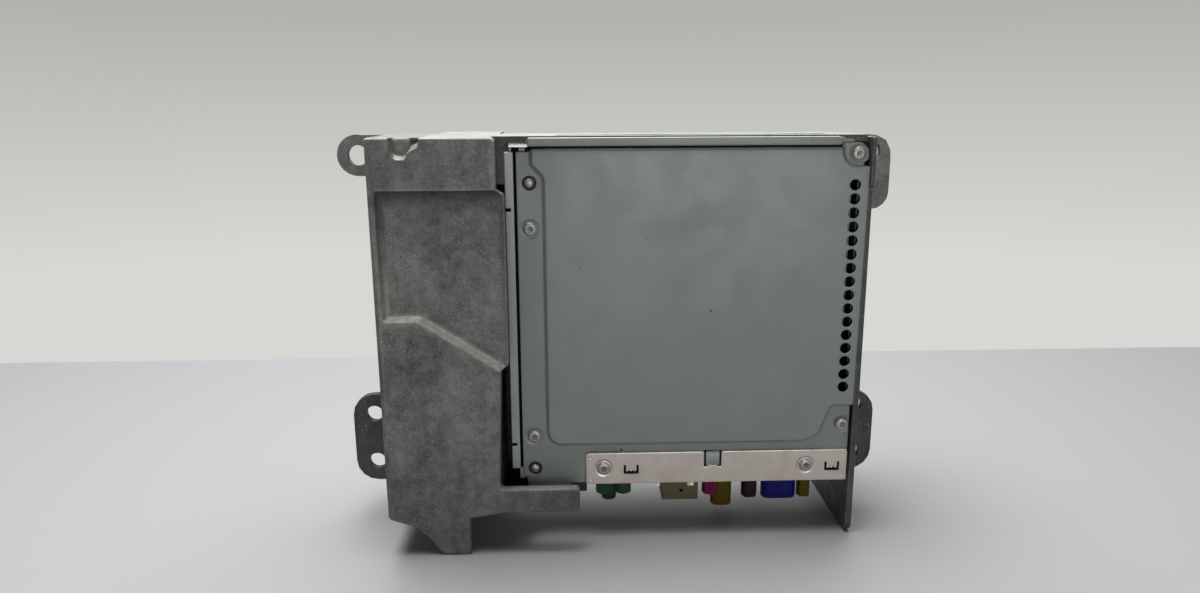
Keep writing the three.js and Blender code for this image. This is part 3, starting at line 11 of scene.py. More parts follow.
import bmesh
import bpy
import numpy as np
from mathutils import Matrix, Vector
from mathutils.geometry import delaunay_2d_cdt


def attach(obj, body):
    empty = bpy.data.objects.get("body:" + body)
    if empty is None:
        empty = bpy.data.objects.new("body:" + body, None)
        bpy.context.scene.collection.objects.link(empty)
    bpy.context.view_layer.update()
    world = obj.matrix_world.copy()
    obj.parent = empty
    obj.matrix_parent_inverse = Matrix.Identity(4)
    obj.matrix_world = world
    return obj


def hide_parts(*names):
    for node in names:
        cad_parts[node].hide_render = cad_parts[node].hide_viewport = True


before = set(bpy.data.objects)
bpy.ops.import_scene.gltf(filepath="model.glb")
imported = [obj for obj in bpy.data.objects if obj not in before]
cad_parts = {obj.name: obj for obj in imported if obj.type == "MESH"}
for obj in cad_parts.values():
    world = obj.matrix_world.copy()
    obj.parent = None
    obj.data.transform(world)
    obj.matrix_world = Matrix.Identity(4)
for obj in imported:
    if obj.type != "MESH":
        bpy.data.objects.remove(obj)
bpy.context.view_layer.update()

# %% [markdown]
# ## Millimetres and the drawing frame
#
# The real unit would be drawn in millimetres from its front face, so the pieces are worked out that way:
# X to the right, Y away from the viewer, Z up. One helper moves finished points to the frame's metres.
# Doing this once keeps every piece's object at the origin, with its place in its mesh.

# %% From drawing millimetres to the frame
PER_METRE = 1000.0
MIDDLE_DEPTH = 45.0
SHARP_ABOVE = 32.0  # degrees


def to_frame(points):
    """Drawing millimetres to the frame's metres: Y loses half the depth, then all are divided by 1000."""
    return (np.asarray(points, float) - (0.0, MIDDLE_DEPTH, 0.0)) / PER_METRE


def from_frame(points):
    """The frame's metres to drawing millimetres, the other way round."""
    return np.asarray(points, float) * PER_METRE + (0.0, MIDDLE_DEPTH, 0.0)


def linked(name, data):
    """An object that holds the data, put into the scene."""
    made = bpy.data.objects.new(name, data)
    bpy.context.scene.collection.objects.link(made)
    return made


def make_object(name, shape, look, smooth_below=SHARP_ABOVE):
    """A mesh object from points in drawing millimetres and lists of faces. Edges that bend by more than an
    angle in degrees stay sharp."""
    points, faces = shape
    mesh = bpy.data.meshes.new(name)
    mesh.from_pydata(to_frame(points).tolist(), [], faces)
    mesh.validate()
    mesh.shade_smooth()
    mesh.set_sharp_from_angle(angle=math.radians(smooth_below))
    mesh.materials.append(FINISHES[look])
    made = linked(name, mesh)
    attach(made, "chassis")
    return made


# %% [markdown]
# ## Outlines
#
# Every pressed or cast plate starts as an outline with rounded corners. The corner arcs are worked out from
# the two sides that meet there, and a second helper draws an outline in or out along its corners' bisectors,
# which gives the rings for rounded edges, ramps and rims.

# %% Rounded outlines and their offsets
TINY = 1e-12


def rounded(corners, steps=6):
    """Corner k is [x, z, r]. Its arc touches both sides at r / tan(half the angle) and turns evenly."""
    points = []
    count = len(corners)
    for k, corner in enumerate(corners):
        at = np.array(corner[:2], float)
        radius = corner[2] if len(corner) > 2 else 0.0
        if radius <= 0:
            points.append(at[None])
            continue
        back = np.array(corners[k - 1][:2], float) - at
        ahead = np.array(corners[(k + 1) % count][:2], float) - at
        back, ahead = back / np.linalg.norm(back), ahead / np.linalg.norm(ahead)
        half = math.acos(np.clip(back @ ahead, -1, 1)) / 2
        middle = (back + ahead) / np.linalg.norm(back + ahead)
        centre = at + middle * radius / math.sin(half)
        first = at + back * radius / math.tan(half) - centre
        last = at + ahead * radius / math.tan(half) - centre
        turn = math.atan2(first[0] * last[1] - first[1] * last[0], first @ last)
        angles = turn * np.linspace(0, 1, steps + 1)
        across = np.array([-first[1], first[0]])
        points.append(centre + np.cos(angles)[:, None] * first + np.sin(angles)[:, None] * across)
    return np.concatenate(points)


def full_turn(sides):
    """The angles of a full turn in equal steps, starting at the right."""
    return 2 * math.pi * np.arange(sides) / sides


def ring(x, z, radius, sides):
    """A circle of equal steps around (x, z)."""
    angles = full_turn(sides)
    return np.column_stack([x + radius * np.cos(angles), z + radius * np.sin(angles)])


def rectangle(left, low, right, high, lower=0.0, upper=0.0, steps=6):
    """A rectangle that runs against the clock, with a radius for its lower and one for its upper corners."""
    corners = [[left, low, lower], [right, low, lower], [right, high, upper], [left, high, upper]]
    return rounded(corners, steps)


def area_of(outline):
    """Signed area by the shoelace sum: positive when the outline runs against the clock."""
    x, z = outline.T
    return 0.5 * float(np.sum(x * np.roll(z, -1) - np.roll(x, -1) * z))


def drawn_in(outline, distance):
    """Moves each point along its corner's bisector, so both sides shift inwards by the distance (out if it is
    negative). At a very sharp corner the move is held to about three times the distance."""
    sign = 1.0 if area_of(outline) > 0 else -1.0
    side = np.roll(outline, -1, 0) - outline
    side /= np.maximum(np.linalg.norm(side, axis=1), TINY)[:, None]
    inward = sign * np.column_stack([-side[:, 1], side[:, 0]])
    before = np.roll(inward, 1, 0)
    share = np.maximum(1.0 + np.sum(inward * before, axis=1), 0.35)
    return outline + distance * (inward + before) / share[:, None]


def divided(outline, longest):
    """Puts equally spaced points on each side that is longer than the given length."""
    ends = np.roll(outline, -1, 0)
    counts = np.maximum(1, np.ceil(np.linalg.norm(ends - outline, axis=1) / longest).astype(int))
    starts = np.repeat(outline, counts, axis=0)
    steps = np.repeat((ends - outline) / counts[:, None], counts, axis=0)
    places = np.arange(counts.sum()) - np.repeat(np.cumsum(counts) - counts, counts)
    return starts + steps * places[:, None]


print("outline helpers ready, a 10 mm square has area", area_of(rectangle(0, 0, 10, 10)))

# %% [markdown]
# ## A relief over an outline
#
# The casting's front, the lid and the connector strip are plates whose near side has ramps, rims and rounded
# edges. Such a plate can be carved with booleans, or drawn as a height over its outline. The height is used
# here: the outline and its feature lines become the edges of one constrained Delaunay triangulation, and a
# function of X and Z gives each point its depth. Ramps stay crisp because their own offset lines are edges of
# the mesh.

# %% Distances and the relief builder
def inside(points, outline):
    """Even-odd rule: a point is inside when a ray to its right crosses an odd number of sides."""
    x, z = points[:, 0:1], points[:, 1:2]
    (x0, z0), (x1, z1) = outline.T, np.roll(outline, -1, 0).T
    level = np.where(np.abs(z1 - z0) < TINY, TINY, z1 - z0)
    crossed = ((z0 > z) != (z1 > z)) & (x < x0 + (z - z0) * (x1 - x0) / level)
    return crossed.sum(1) % 2 == 1


def distance_to(points, outline):
    """Shortest distance to the outline: a point is projected on every side and held between its ends."""
    side = np.roll(outline, -1, 0) - outline
    away = points[:, None, :] - outline[None]
    share = np.clip((away * side).sum(2) / np.maximum((side * side).sum(1), TINY), 0, 1)
    return np.sqrt(((away - share[..., None] * side) ** 2).sum(2).min(1))


def depth_inside(points, outline):
    """The distance to the outline, positive inside it and negative outside."""
    return np.where(inside(points, outline), 1.0, -1.0) * distance_to(points, outline)


def ramp(share):
    """A slope from 0 to 1 with a soft start and end: half of it is s, and half 3 s^2 - 2 s^3."""
    held = np.clip(share, 0, 1)
    return 0.5 * held + 0.5 * held * held * (3 - 2 * held)


def edge_round(distance, radius):
    """How far a quarter-round edge falls back at a distance from it: r - sqrt(r^2 - (r - d)^2)."""
    short = np.clip(radius - distance, 0, radius)
    return radius - np.sqrt(radius * radius - short * short)


MERGED_WITHIN = 1e-4  # millimetres


def triangulated(outline, holes, features, spacing):
    """Constrained Delaunay triangles over the outline, with the holes' and features' sides kept as edges and
    grid points between them that stay a quarter of the spacing away from every side."""
    loops = [outline, *holes, *features]
    low, high = outline.min(0), outline.max(0)
    counts = np.maximum(((high - low) / spacing).astype(int), 1)
    grid = np.stack(np.meshgrid(*[np.linspace(low[i], high[i], counts[i] + 1)[1:-1] for i in (0, 1)]), -1)
    grid = grid.reshape(-1, 2)
    if len(grid):
        grid = grid[np.min([distance_to(grid, loop) for loop in loops], axis=0) > 0.25 * spacing]
    sizes = [len(loop) for loop in loops]
    starts = np.cumsum([0, *sizes[:-1]])
    edges = np.concatenate([
        np.column_stack([start + np.arange(size), start + (np.arange(size) + 1) % size])
        for start, size in zip(starts, sizes)
    ])
    points = np.concatenate([*loops, grid])
    found = delaunay_2d_cdt([Vector(p) for p in points.tolist()], edges.tolist(), [], 0, MERGED_WITHIN)
    flat = np.array([tuple(p) for p in found[0]])
    corners = np.array(found[2])
    centre = flat[corners].mean(1)
    kept = inside(centre, outline)
    for hole in holes:
        kept &= ~inside(centre, hole)
    corners = corners[kept]
    a, b, c = flat[corners[:, 0]], flat[corners[:, 1]], flat[corners[:, 2]]
    turned = ((b - a)[:, 0] * (c - a)[:, 1] - (b - a)[:, 1] * (c - a)[:, 0]) < 0
    corners[turned] = corners[turned][:, ::-1]
    return flat, corners


def relief(outline, near, far, holes=(), features=(), spacing=6.0):
    """Points and faces of a closed plate: a near and a far side, each a depth or a function of the flat
    points, and walls where an edge belongs to one triangle only."""
    flat, corners = triangulated(outline, holes, features, spacing)
    used, corners = np.unique(corners, return_inverse=True)
    flat, corners = flat[used], corners.reshape(-1, 3)
    count = len(flat)
    depths = [side(flat) if callable(side) else np.full(count, float(side)) for side in (near, far)]
    points = np.concatenate([np.column_stack([flat[:, 0], depth, flat[:, 1]]) for depth in depths])
    edges = np.concatenate([corners[:, [0, 1]], corners[:, [1, 2]], corners[:, [2, 0]]])
    alone = edges[~np.isin(edges[:, 1] * count + edges[:, 0], edges[:, 0] * count + edges[:, 1])]
    walls = np.column_stack([alone[:, 1], alone[:, 0], alone[:, 0] + count, alone[:, 1] + count])
    return points, [*corners.tolist(), *(corners[:, ::-1] + count).tolist(), *walls.tolist()]


def loft(rings, closed=True):
    """Points and faces of rings with equal counts, each joined to the next. When closed, a fan of triangles
    joins each end ring to its middle."""
    rows, count = len(rings), len(rings[0])
    points = np.concatenate(rings)
    at = np.arange(rows * count).reshape(rows, count)
    a, b = at[:-1], at[1:]
    faces = np.stack([a, np.roll(a, -1, 1), np.roll(b, -1, 1), b], -1).reshape(-1, 4).tolist()
    for row, turn in ((at[0], -1), (at[-1], 1)) if closed else ():
        points = np.concatenate([points, points[row].mean(0)[None]])
        fan = np.column_stack([row, np.roll(row, -1), np.full(count, len(points) - 1)])
        faces += fan[:, ::turn].tolist()
    return points, faces


def turned_y(profile, x, z, sides, swing=None, closed=True):
    """Rings about an axis along Y: each pair of the profile is radius and depth, and swing(angles, row)
    scales the radius."""
    angles = full_turn(sides)
    across, up = np.cos(angles), np.sin(angles)
    rings = []
    for row, (radius, depth) in enumerate(profile):
        reach = radius * (swing(angles, row) if swing else np.ones(sides))
        rings.append(np.column_stack([x + reach * across, np.full(sides, depth), z + reach * up]))
    return loft(rings, closed)


def joined(*parts):
    """Several point and face lists as one."""
    points, faces, start = [], [], 0
    for part_points, part_faces in parts:
        points.append(np.asarray(part_points, float))
        faces += [[index + start for index in face] for face in part_faces]
        start += len(part_points)
    return np.concatenate(points), faces


trial = relief(rectangle(0, 0, 20, 10, 2, 2), 0.0, 1.0)
print("a 20 x 10 mm plate has", len(trial[0]), "points and", len(trial[1]), "faces")

# %% [markdown]
# ## Finishes
#
# The real surfaces are few: stained cast aluminium, satin grey-green paint, zinc plating, bright steel,
# rubber and moulded plastic. Each finish is a Principled shader, fed by a shader node group that works out
# stains, speckle and grain from the object's own coordinates. The groups give colours, values and heights
# only, and constants such as the specular level sit on the shader, so an exporter can read them.

# %% Node helpers
def srgb(red, green, blue):
    """Screen values (0 to 255) to linear light: c / 12.92 below 0.04045, else ((c + 0.055) / 1.055)^2.4."""
    share = np.array([red, green, blue]) / 255.0
    linear = np.where(share <= 0.04045, share / 12.92, ((share + 0.055) / 1.055) ** 2.4)
    return (*linear.tolist(), 1.0)


def start_group(name, inputs):
    """An empty shader node group. It takes a place and the named inputs (name, kind, default), and gives a
    colour, a roughness and a height."""
    tree = bpy.data.node_groups.new(name, "ShaderNodeTree")
    for label, kind, default in [("Place", "Vector", (0, 0, 0)), *inputs]:
        socket = tree.interface.new_socket(label, in_out="INPUT", socket_type="NodeSocket" + kind)
        socket.default_value = default
    for label, kind in (("Color", "Color"), ("Roughness", "Float"), ("Height", "Float")):
        tree.interface.new_socket(label, in_out="OUTPUT", socket_type="NodeSocket" + kind)
    return tree, tree.nodes.new("NodeGroupInput").outputs


def end_group(tree, color, roughness, height):
    """Leads the three results to the group's outputs."""
    out = tree.nodes.new("NodeGroupOutput")
    for label, result in (("Color", color), ("Roughness", roughness), ("Height", height)):
        tree.links.new(result, out.inputs[label])
    return tree


def noise(tree, vector, scale, detail=4.0, roughness=0.55, distortion=0.0):
    """A noise texture's value. Its scale counts features per metre, because coordinates are in metres."""
    made = tree.nodes.new("ShaderNodeTexNoise")
    settings = {"Scale": scale, "Detail": detail, "Roughness": roughness, "Distortion": distortion}
    for label, number in settings.items():
        made.inputs[label].default_value = number
    tree.links.new(vector, made.inputs["Vector"])
    return made.outputs["Fac"]


def stretched(tree, vector, scale):
    """The place with each axis scaled: a small number draws a pattern out along that axis."""
    made = tree.nodes.new("ShaderNodeMapping")
    made.inputs["Scale"].default_value = scale
    tree.links.new(vector, made.inputs["Vector"])
    return made.outputs["Vector"]


def graded(tree, value, low, high, to_low=0.0, to_high=1.0):
    """Maps a range onto another, held at both ends."""
    made = tree.nodes.new("ShaderNodeMapRange")
    made.clamp = True
    for label, number in (("From Min", low), ("From Max", high), ("To Min", to_low), ("To Max", to_high)):
        made.inputs[label].default_value = number
    tree.links.new(value, made.inputs["Value"])
    return made.outputs["Result"]


def maths(tree, operation, first, second):
    """A math node on two values, each a socket or a number."""
    made = tree.nodes.new("ShaderNodeMath")
    made.operation = operation
    for socket, value in zip(made.inputs, (first, second)):
        if isinstance(value, (int, float)):
            socket.default_value = value
        else:
            tree.links.new(value, socket)
    return made.outputs[0]


def times(tree, first, second):
    """The product of two values."""
    return maths(tree, "MULTIPLY", first, second)


def blended(tree, share, first, second):
    """A colour between two, by a share from 0 to 1; each colour is a socket or four numbers."""
    made = tree.nodes.new("ShaderNodeMix")
    made.data_type = "RGBA"
    share_socket, first_socket, second_socket = made.inputs[0], made.inputs[6], made.inputs[7]
    for socket, value in ((share_socket, share), (first_socket, first), (second_socket, second)):
        if isinstance(value, (int, float, tuple)):
            socket.default_value = value
        else:
            tree.links.new(value, socket)
    return made.outputs[2]


def voronoi_spots(tree, vector, scale, radius):
    """Small round spots: 1 inside the given share of a cell's distance, 0 outside."""
    made = tree.nodes.new("ShaderNodeTexVoronoi")
    made.inputs["Scale"].default_value = scale
    tree.links.new(vector, made.inputs["Vector"])
    return graded(tree, made.outputs["Distance"], radius, radius * 0.6)


def object_place(tree):
    """The point's place in the object, which is its place in the frame, in metres."""
    return tree.nodes.new("ShaderNodeTexCoord").outputs["Object"]


# %% Node groups for cast metal, paint, plated sheet and mouldings
def dark(level):
    """A grey for painted shade, pits and specks, in linear light."""
    return (level, level, level, 1)


def cast_group():
    """Cast aluminium: broad stains, upright streaks, blotches and grain added up to one tone between a
    dark and a light grey, then clusters of bright specks, dark pits, the pale tone where the wear and light
    value is over 0, for worn metal and painted highlights, and painted shade where it is under 0."""
    tree, given = start_group("cast_surface", [
        ("Wear_and_light", "Float", 0.0), ("Pale", "Color", (0.42, 0.42, 0.4, 1)),
        ("Light", "Color", (0.2, 0.2, 0.19, 1)), ("Dark", "Color", (0.05, 0.05, 0.05, 1)),
    ])
    place = given["Place"]
    broad = graded(tree, noise(tree, place, 30, 4, 0.55, 0.5), 0.34, 0.66)
    streak = graded(tree, noise(tree, stretched(tree, place, (1, 1, 0.14)), 120, 4, 0.6), 0.34, 0.66)
    blotch = graded(tree, noise(tree, place, 170, 5, 0.65), 0.33, 0.67)
    grain = graded(tree, noise(tree, place, 1300, 3, 0.65), 0.32, 0.68)
    tone = times(tree, broad, 0.26)
    for layer, share in ((streak, 0.16), (blotch, 0.3), (grain, 0.28)):
        tone = maths(tree, "ADD", tone, times(tree, layer, share))
    base = blended(tree, tone, given["Dark"], given["Light"])
    clusters = graded(tree, noise(tree, place, 75, 3), 0.5, 0.62)
    bright = times(tree, voronoi_spots(tree, place, 720, 0.25), clusters)
    speckled = blended(tree, times(tree, bright, 0.55), base, given["Pale"])
    pitted_areas = graded(tree, noise(tree, place, 110), 0.5, 0.6)
    pits = times(tree, voronoi_spots(tree, place, 520, 0.2), pitted_areas)
    pitted = blended(tree, times(tree, pits, 0.6), speckled, dark(0.025))
    worn_and_lit = maths(tree, "MAXIMUM", given["Wear_and_light"], 0.0)
    ragged = times(tree, worn_and_lit, graded(tree, noise(tree, place, 480, 4, 0.6), 0.36, 0.6, 0.6))
    # Under 0 the value paints shade, darkening the metal towards near black
    painted_shade = times(tree, maths(tree, "MINIMUM", given["Wear_and_light"], 0.0), -1.0)
    worn_lit_and_shaded = blended(tree, painted_shade, blended(tree, ragged, pitted, given["Pale"]), dark(0.012))
    rough = maths(tree, "SUBTRACT", graded(tree, blotch, 0, 1, 0.64, 0.5), times(tree, ragged, 0.12))
    height = maths(tree, "ADD", times(tree, grain, 0.7), times(tree, blotch, 0.5))
    return end_group(tree, worn_lit_and_shaded, rough, maths(tree, "SUBTRACT", height, pits))


def paint_group():
    """Satin paint on pressed steel: faint broad smudges, a very fine orange peel and a few dark specks."""
    tree, given = start_group("satin_paint", [
        ("Paint", "Color", (0.16, 0.19, 0.17, 1)), ("Smudge", "Float", 1.0),
    ])
    place = given["Place"]
    smudge = graded(tree, noise(tree, place, 22, 3, 0.55, 0.8), 0.42, 0.7)
    smudge = times(tree, smudge, given["Smudge"])
    toned = blended(tree, times(tree, smudge, 0.45), given["Paint"], (0.205, 0.2, 0.19, 1))
    haze = graded(tree, noise(tree, place, 60, 4), 0.4, 0.75, 0, 0.16)
    hazed = blended(tree, haze, toned, (0.3, 0.33, 0.31, 1))
    specked_areas = graded(tree, noise(tree, place, 45), 0.54, 0.58)
    specks = times(tree, voronoi_spots(tree, place, 170, 0.07), specked_areas)
    specked = blended(tree, times(tree, specks, 0.8), hazed, dark(0.02))
    return end_group(tree, specked, graded(tree, smudge, 0, 1, 0.36, 0.5), noise(tree, place, 2600, 2, 0.5))


def plated_group():
    """Zinc plating on rolled sheet: long faint rolling lines, warm and pink tints, and small dull spots."""
    tree, given = start_group("plated_sheet", [
        ("Metal", "Color", (0.5, 0.48, 0.44, 1)), ("Tint", "Color", (0.5, 0.4, 0.38, 1)),
    ])
    place = given["Place"]
    lines = noise(tree, stretched(tree, place, (0.06, 1, 1)), 2200, 3, 0.6)
    tint = graded(tree, noise(tree, place, 55, 3, 0.55, 1.2), 0.46, 0.72, 0, 0.8)
    toned = blended(tree, tint, given["Metal"], given["Tint"])
    dull = graded(tree, noise(tree, place, 190, 4, 0.6), 0.52, 0.74, 0, 0.35)
    spotted = blended(tree, dull, toned, (0.3, 0.29, 0.27, 1))
    rough = maths(tree, "ADD", graded(tree, lines, 0.3, 0.7, 0.3, 0.4), times(tree, dull, 0.5))
    return end_group(tree, spotted, rough, lines)


def moulded_group():
    """Moulded plastic or rubber: a fine spark-eroded grain, slight tone drift and dust on it."""
    tree, given = start_group("moulded_plastic", [
        ("Body", "Color", (0.1, 0.1, 0.1, 1)), ("Dust", "Float", 0.2),
    ])
    place = given["Place"]
    grain = noise(tree, place, 3200, 2, 0.55)
    drift = graded(tree, noise(tree, place, 130, 3), 0.35, 0.7)
    dusty = blended(tree, times(tree, drift, given["Dust"]), given["Body"], (0.42, 0.41, 0.39, 1))
    return end_group(tree, dusty, graded(tree, grain, 0.3, 0.7, 0.42, 0.6), grain)


GROUPS = {"cast": cast_group(), "paint": paint_group(), "plated": plated_group(), "moulded": moulded_group()}
print("node groups:", ", ".join(tree.name for tree in GROUPS.values()))

# %% A finish from a group
def finish(name, kind, metallic, bump, values, specular=0.5, coat=0.0, worn_and_lit=False):
    """A Principled shader fed by one group's colour, roughness and height. bump is the relief in metres,
    and a finish that is worn and lit reads the value of wear and painted light stored at the mesh's points."""
    material = bpy.data.materials.new(name)
    material.use_nodes = True
    tree = material.node_tree
    shader = tree.nodes["Principled BSDF"]
    for label, number in (("Metallic", metallic), ("Specular IOR Level", specular), ("Coat Weight", coat)):
        shader.inputs[label].default_value = number
    group = tree.nodes.new("ShaderNodeGroup")
    group.node_tree = GROUPS[kind]
    tree.links.new(object_place(tree), group.inputs["Place"])
    for label, value in values.items():
        group.inputs[label].default_value = value
    if worn_and_lit:
        wear_and_light = tree.nodes.new("ShaderNodeAttribute")
        wear_and_light.attribute_name = "wear_and_light"
        tree.links.new(wear_and_light.outputs["Fac"], group.inputs["Wear_and_light"])
    raised = tree.nodes.new("ShaderNodeBump")
    raised.inputs["Strength"].default_value = 1.0
    raised.inputs["Distance"].default_value = bump
    tree.links.new(group.outputs["Height"], raised.inputs["Height"])
    tree.links.new(group.outputs["Color"], shader.inputs["Base Color"])
    tree.links.new(group.outputs["Roughness"], shader.inputs["Roughness"])
    tree.links.new(raised.outputs["Normal"], shader.inputs["Normal"])
    return material


# %% All the finishes
# Cast: metallic share, relief in metres, then the light, dark and pale tones as screen values
CAST = {
    "cast_aluminium": (0.3, 6e-5, (140, 140, 136), (38, 38, 36), (176, 176, 170)),
    "cast_front": (0.3, 6e-5, (140, 140, 136), (38, 38, 36), (176, 176, 170)),
    # The next two are lighter copies that paint the highlight the casting's top faces catch from above.
    "cast_lit_crown": (0.15, 6e-5, (172, 172, 162), (102, 102, 94), (200, 200, 188)),
    "cast_lit_top": (0.15, 6e-5, (172, 172, 162), (104, 104, 98), (226, 226, 212)),
    # A paler copy for bevels and some top faces: partly worn metal, partly a painted highlight.
    "cast_worn_and_lit_rim": (0.4, 4e-5, (150, 150, 146), (84, 84, 82)),
    # A paler copy that paints the highlight on ledges and edges that face the light.
    "cast_highlight": (0.4, 5e-5, (178, 178, 170), (108, 108, 103)),
    # A lighter copy that paints light on the upper ears.
    "cast_lit_ear": (0.3, 5e-5, (150, 150, 146), (60, 60, 58)),
    # The next two are darker copies that paint shade, the second in notches and recesses.
    "cast_shade": (0.25, 5e-5, (82, 82, 80), (26, 26, 26)),
    "cast_deep_shade": (0.1, 5e-5, (52, 52, 50), (12, 12, 12), (80, 80, 78)),
    "sink_metal": (0.75, 2e-5, (150, 151, 152), (104, 105, 107)),
}
# Paint: metallic share, colour, strength of the smudges
PAINT = {
    "satin_paint": (0.12, (123, 131, 126), 1.0),
    "bar_paint": (0.12, (115, 122, 118), 1.0),
    # A paler paint that lifts the lid's lower left border out of the raised field's shadow: painted light.
    "hem_lit_paint": (0.12, (132, 140, 135), 1.0),
    # A paler paint that makes up for the shade the wing casts on the rail: painted light.
    "rail_lit_paint": (0.2, (152, 158, 154), 0.4),
    # A pale paint that paints the highlight on the lid's fold and the bar's top.
    "fold_highlight_paint": (0.2, (170, 177, 173), 0.2),
    "clip_paint": (0.3, (94, 95, 92), 0.6),
    # A pale paint that paints the highlight on bevelled edges.
    "paint_edge_highlight": (0.35, (158, 164, 160), 0.3),
}
ORANGE_PEEL = 1.2e-5  # metres
# Plated: metallic share, relief in metres, metal and tint
PLATED = {
    "zinc_plating": (0.7, 8e-6, (186, 180, 171), (180, 160, 156)),
    "screw_zinc": (0.6, 1e-5, (152, 152, 148), (136, 136, 132)),
    # A darker copy that paints the shade in the screws' recesses.
    "screw_recess_shade": (0.5, 8e-6, (112, 112, 108), (84, 84, 81)),
    # A near-white copy for painted highlights on the strip's tabs and painted glints in its windows.
    "bright_tab_highlight": (0.2, 8e-6, (236, 234, 226), (222, 220, 210)),
    "bright_steel": (0.95, 8e-6, (168, 169, 166), (148, 145, 138)),
    "tinned_can": (0.9, 8e-6, (168, 170, 167), (150, 150, 145)),
}
# Moulded: relief in metres, body colour, share of dust, specular level, coat
MOULDED = {
    # Black that paints the shade in gaps, openings and holes.
    "unlit_gap": (1e-5, (6, 6, 6), 0.0, 0.05),
    "marking_ink": (1e-5, (40, 50, 150), 0.1),
    "board_green": (1e-5, (28, 78, 54), 0.06, 0.5, 0.3),
    "black_rubber": (2e-5, (18, 18, 18), 0.08, 0.3),
    "dark_package": (2e-5, (44, 44, 46), 0.05),
    "black_plastic": (1.5e-5, (24, 25, 27), 0.1),
    "pale_plastic": (1.5e-5, (206, 203, 193), 0.15),
    # The socket plastics are their own colours darkened, which also paints the shade under the strip.
    "green_plastic": (1.5e-5, (42, 70, 42), 0.03, 0.25),
    "magenta_plastic": (1.5e-5, (112, 8, 66), 0.01, 0.25),
    "yellow_plastic": (1.5e-5, (84, 70, 4), 0.01, 0.25),
    "brown_plastic": (1.5e-5, (34, 18, 20), 0.02, 0.25),
    "blue_plastic": (1.5e-5, (5, 14, 100), 0.01, 0.25),
    "beige_plastic": (1.5e-5, (98, 93, 68), 0.04, 0.25),
}
FINISHES = {}
for name, (metallic, bump, *tones) in CAST.items():
    values = {label: srgb(*tone) for label, tone in zip(("Light", "Dark", "Pale"), tones)}
    FINISHES[name] = finish(name, "cast", metallic, bump, values, worn_and_lit=name == "cast_front")
for name, (metallic, colour, smudge) in PAINT.items():
    values = {"Paint": srgb(*colour), "Smudge": smudge}
    FINISHES[name] = finish(name, "paint", metallic, ORANGE_PEEL, values)
for name, (metallic, bump, metal, tint) in PLATED.items():
    FINISHES[name] = finish(name, "plated", metallic, bump, {"Metal": srgb(*metal), "Tint": srgb(*tint)})
for name, (bump, body, dust, *gloss) in MOULDED.items():
    FINISHES[name] = finish(name, "moulded", 0.0, bump, {"Body": srgb(*body), "Dust": dust}, *gloss)
print(len(FINISHES), "finishes")

# %% [markdown]
# ## Camera, lamps and table
#
# The camera repeats the photograph's: it was fitted to the unit's straight edges, and stands about 37 cm in
# front of the wing, 21 cm up, looking 13 degrees down. The real unit is lit by a bright ceiling, so its upper
# edges shine and its front stays mid grey. One wide lamp overhead, two smaller ones above its left and its
# front, and a weak one far in front give that.

# %% Camera
LENS_PIXELS, PHOTO_WIDTH, SENSOR = 846.2, 1200.0, 36.0
camera_data = bpy.data.cameras.new("camera")
camera_data.sensor_width = SENSOR
camera_data.lens = SENSOR * LENS_PIXELS / PHOTO_WIDTH
camera_data.clip_start = 0.01
camera = linked("camera", camera_data)
right = Vector((0.999419, -0.0338524, -0.0039543))
up = Vector((0.0113572, 0.221392, 0.975119))
ahead = Vector((0.0321346, 0.974597, -0.221648))
turn = Matrix((right, up, -ahead)).transposed().to_4x4()
camera.matrix_world = Matrix.Translation(to_frame((-22.192, -372.024, 211.516)).tolist()) @ turn
bpy.context.scene.camera = camera
print("lens", round(camera_data.lens, 3), "mm")

# %% Lamps, world and table
def lamp(name, place, aim, size, power):
    """A square area lamp, its size in metres and its power in watts, that faces its aim."""
    data = bpy.data.lights.new(name, "AREA")
    data.size, data.energy = size, power
    facing = (Vector(aim) - Vector(place)).to_track_quat("-Z", "Y").to_matrix().to_4x4()
    linked(name, data).matrix_world = Matrix.Translation(place) @ facing


lamp("ceiling", (0.05, 0.42, 1.2), (0, 0.1, 0.05), 1.3, 21)
lamp("ceiling_left", (-0.3, 0.25, 1.1), (0, 0, 0.05), 0.6, 4)
lamp("ceiling_front", (-0.2, -0.1, 1.0), (0, 0, 0.05), 0.5, 6.6)
lamp("fill", (0.25, -1.5, 0.14), (0, 0, 0.1), 0.7, 6.6)

world = bpy.data.worlds.new("room")
bpy.context.scene.world = world
world.use_nodes = True
sky = world.node_tree
ambient = sky.nodes["Background"]
ambient.inputs["Color"].default_value = srgb(222, 223, 222)
ambient.inputs["Strength"].default_value = 0.05
# The camera and mirror-like surfaces see a wall that is paler low down, and everything else the weak ambient
wall = sky.nodes.new("ShaderNodeBackground")
split = sky.nodes.new("ShaderNodeSeparateXYZ")
sky.links.new(sky.nodes.new("ShaderNodeTexCoord").outputs["Generated"], split.inputs[0])
low_wall, high_wall = srgb(214, 216, 212), srgb(176, 178, 173)
wall_tone = blended(sky, graded(sky, split.outputs["Z"], -0.16, 0.1), low_wall, high_wall)
sky.links.new(wall_tone, wall.inputs["Color"])
path = sky.nodes.new("ShaderNodeLightPath")
shown = maths(sky, "MAXIMUM", path.outputs["Is Camera Ray"], path.outputs["Is Glossy Ray"])
backdrop = sky.nodes.new("ShaderNodeMixShader")
for socket, result in zip(backdrop.inputs, (shown, ambient.outputs[0], wall.outputs[0])):
    sky.links.new(result, socket)
sky.links.new(backdrop.outputs[0], sky.nodes["World Output"].inputs["Surface"])

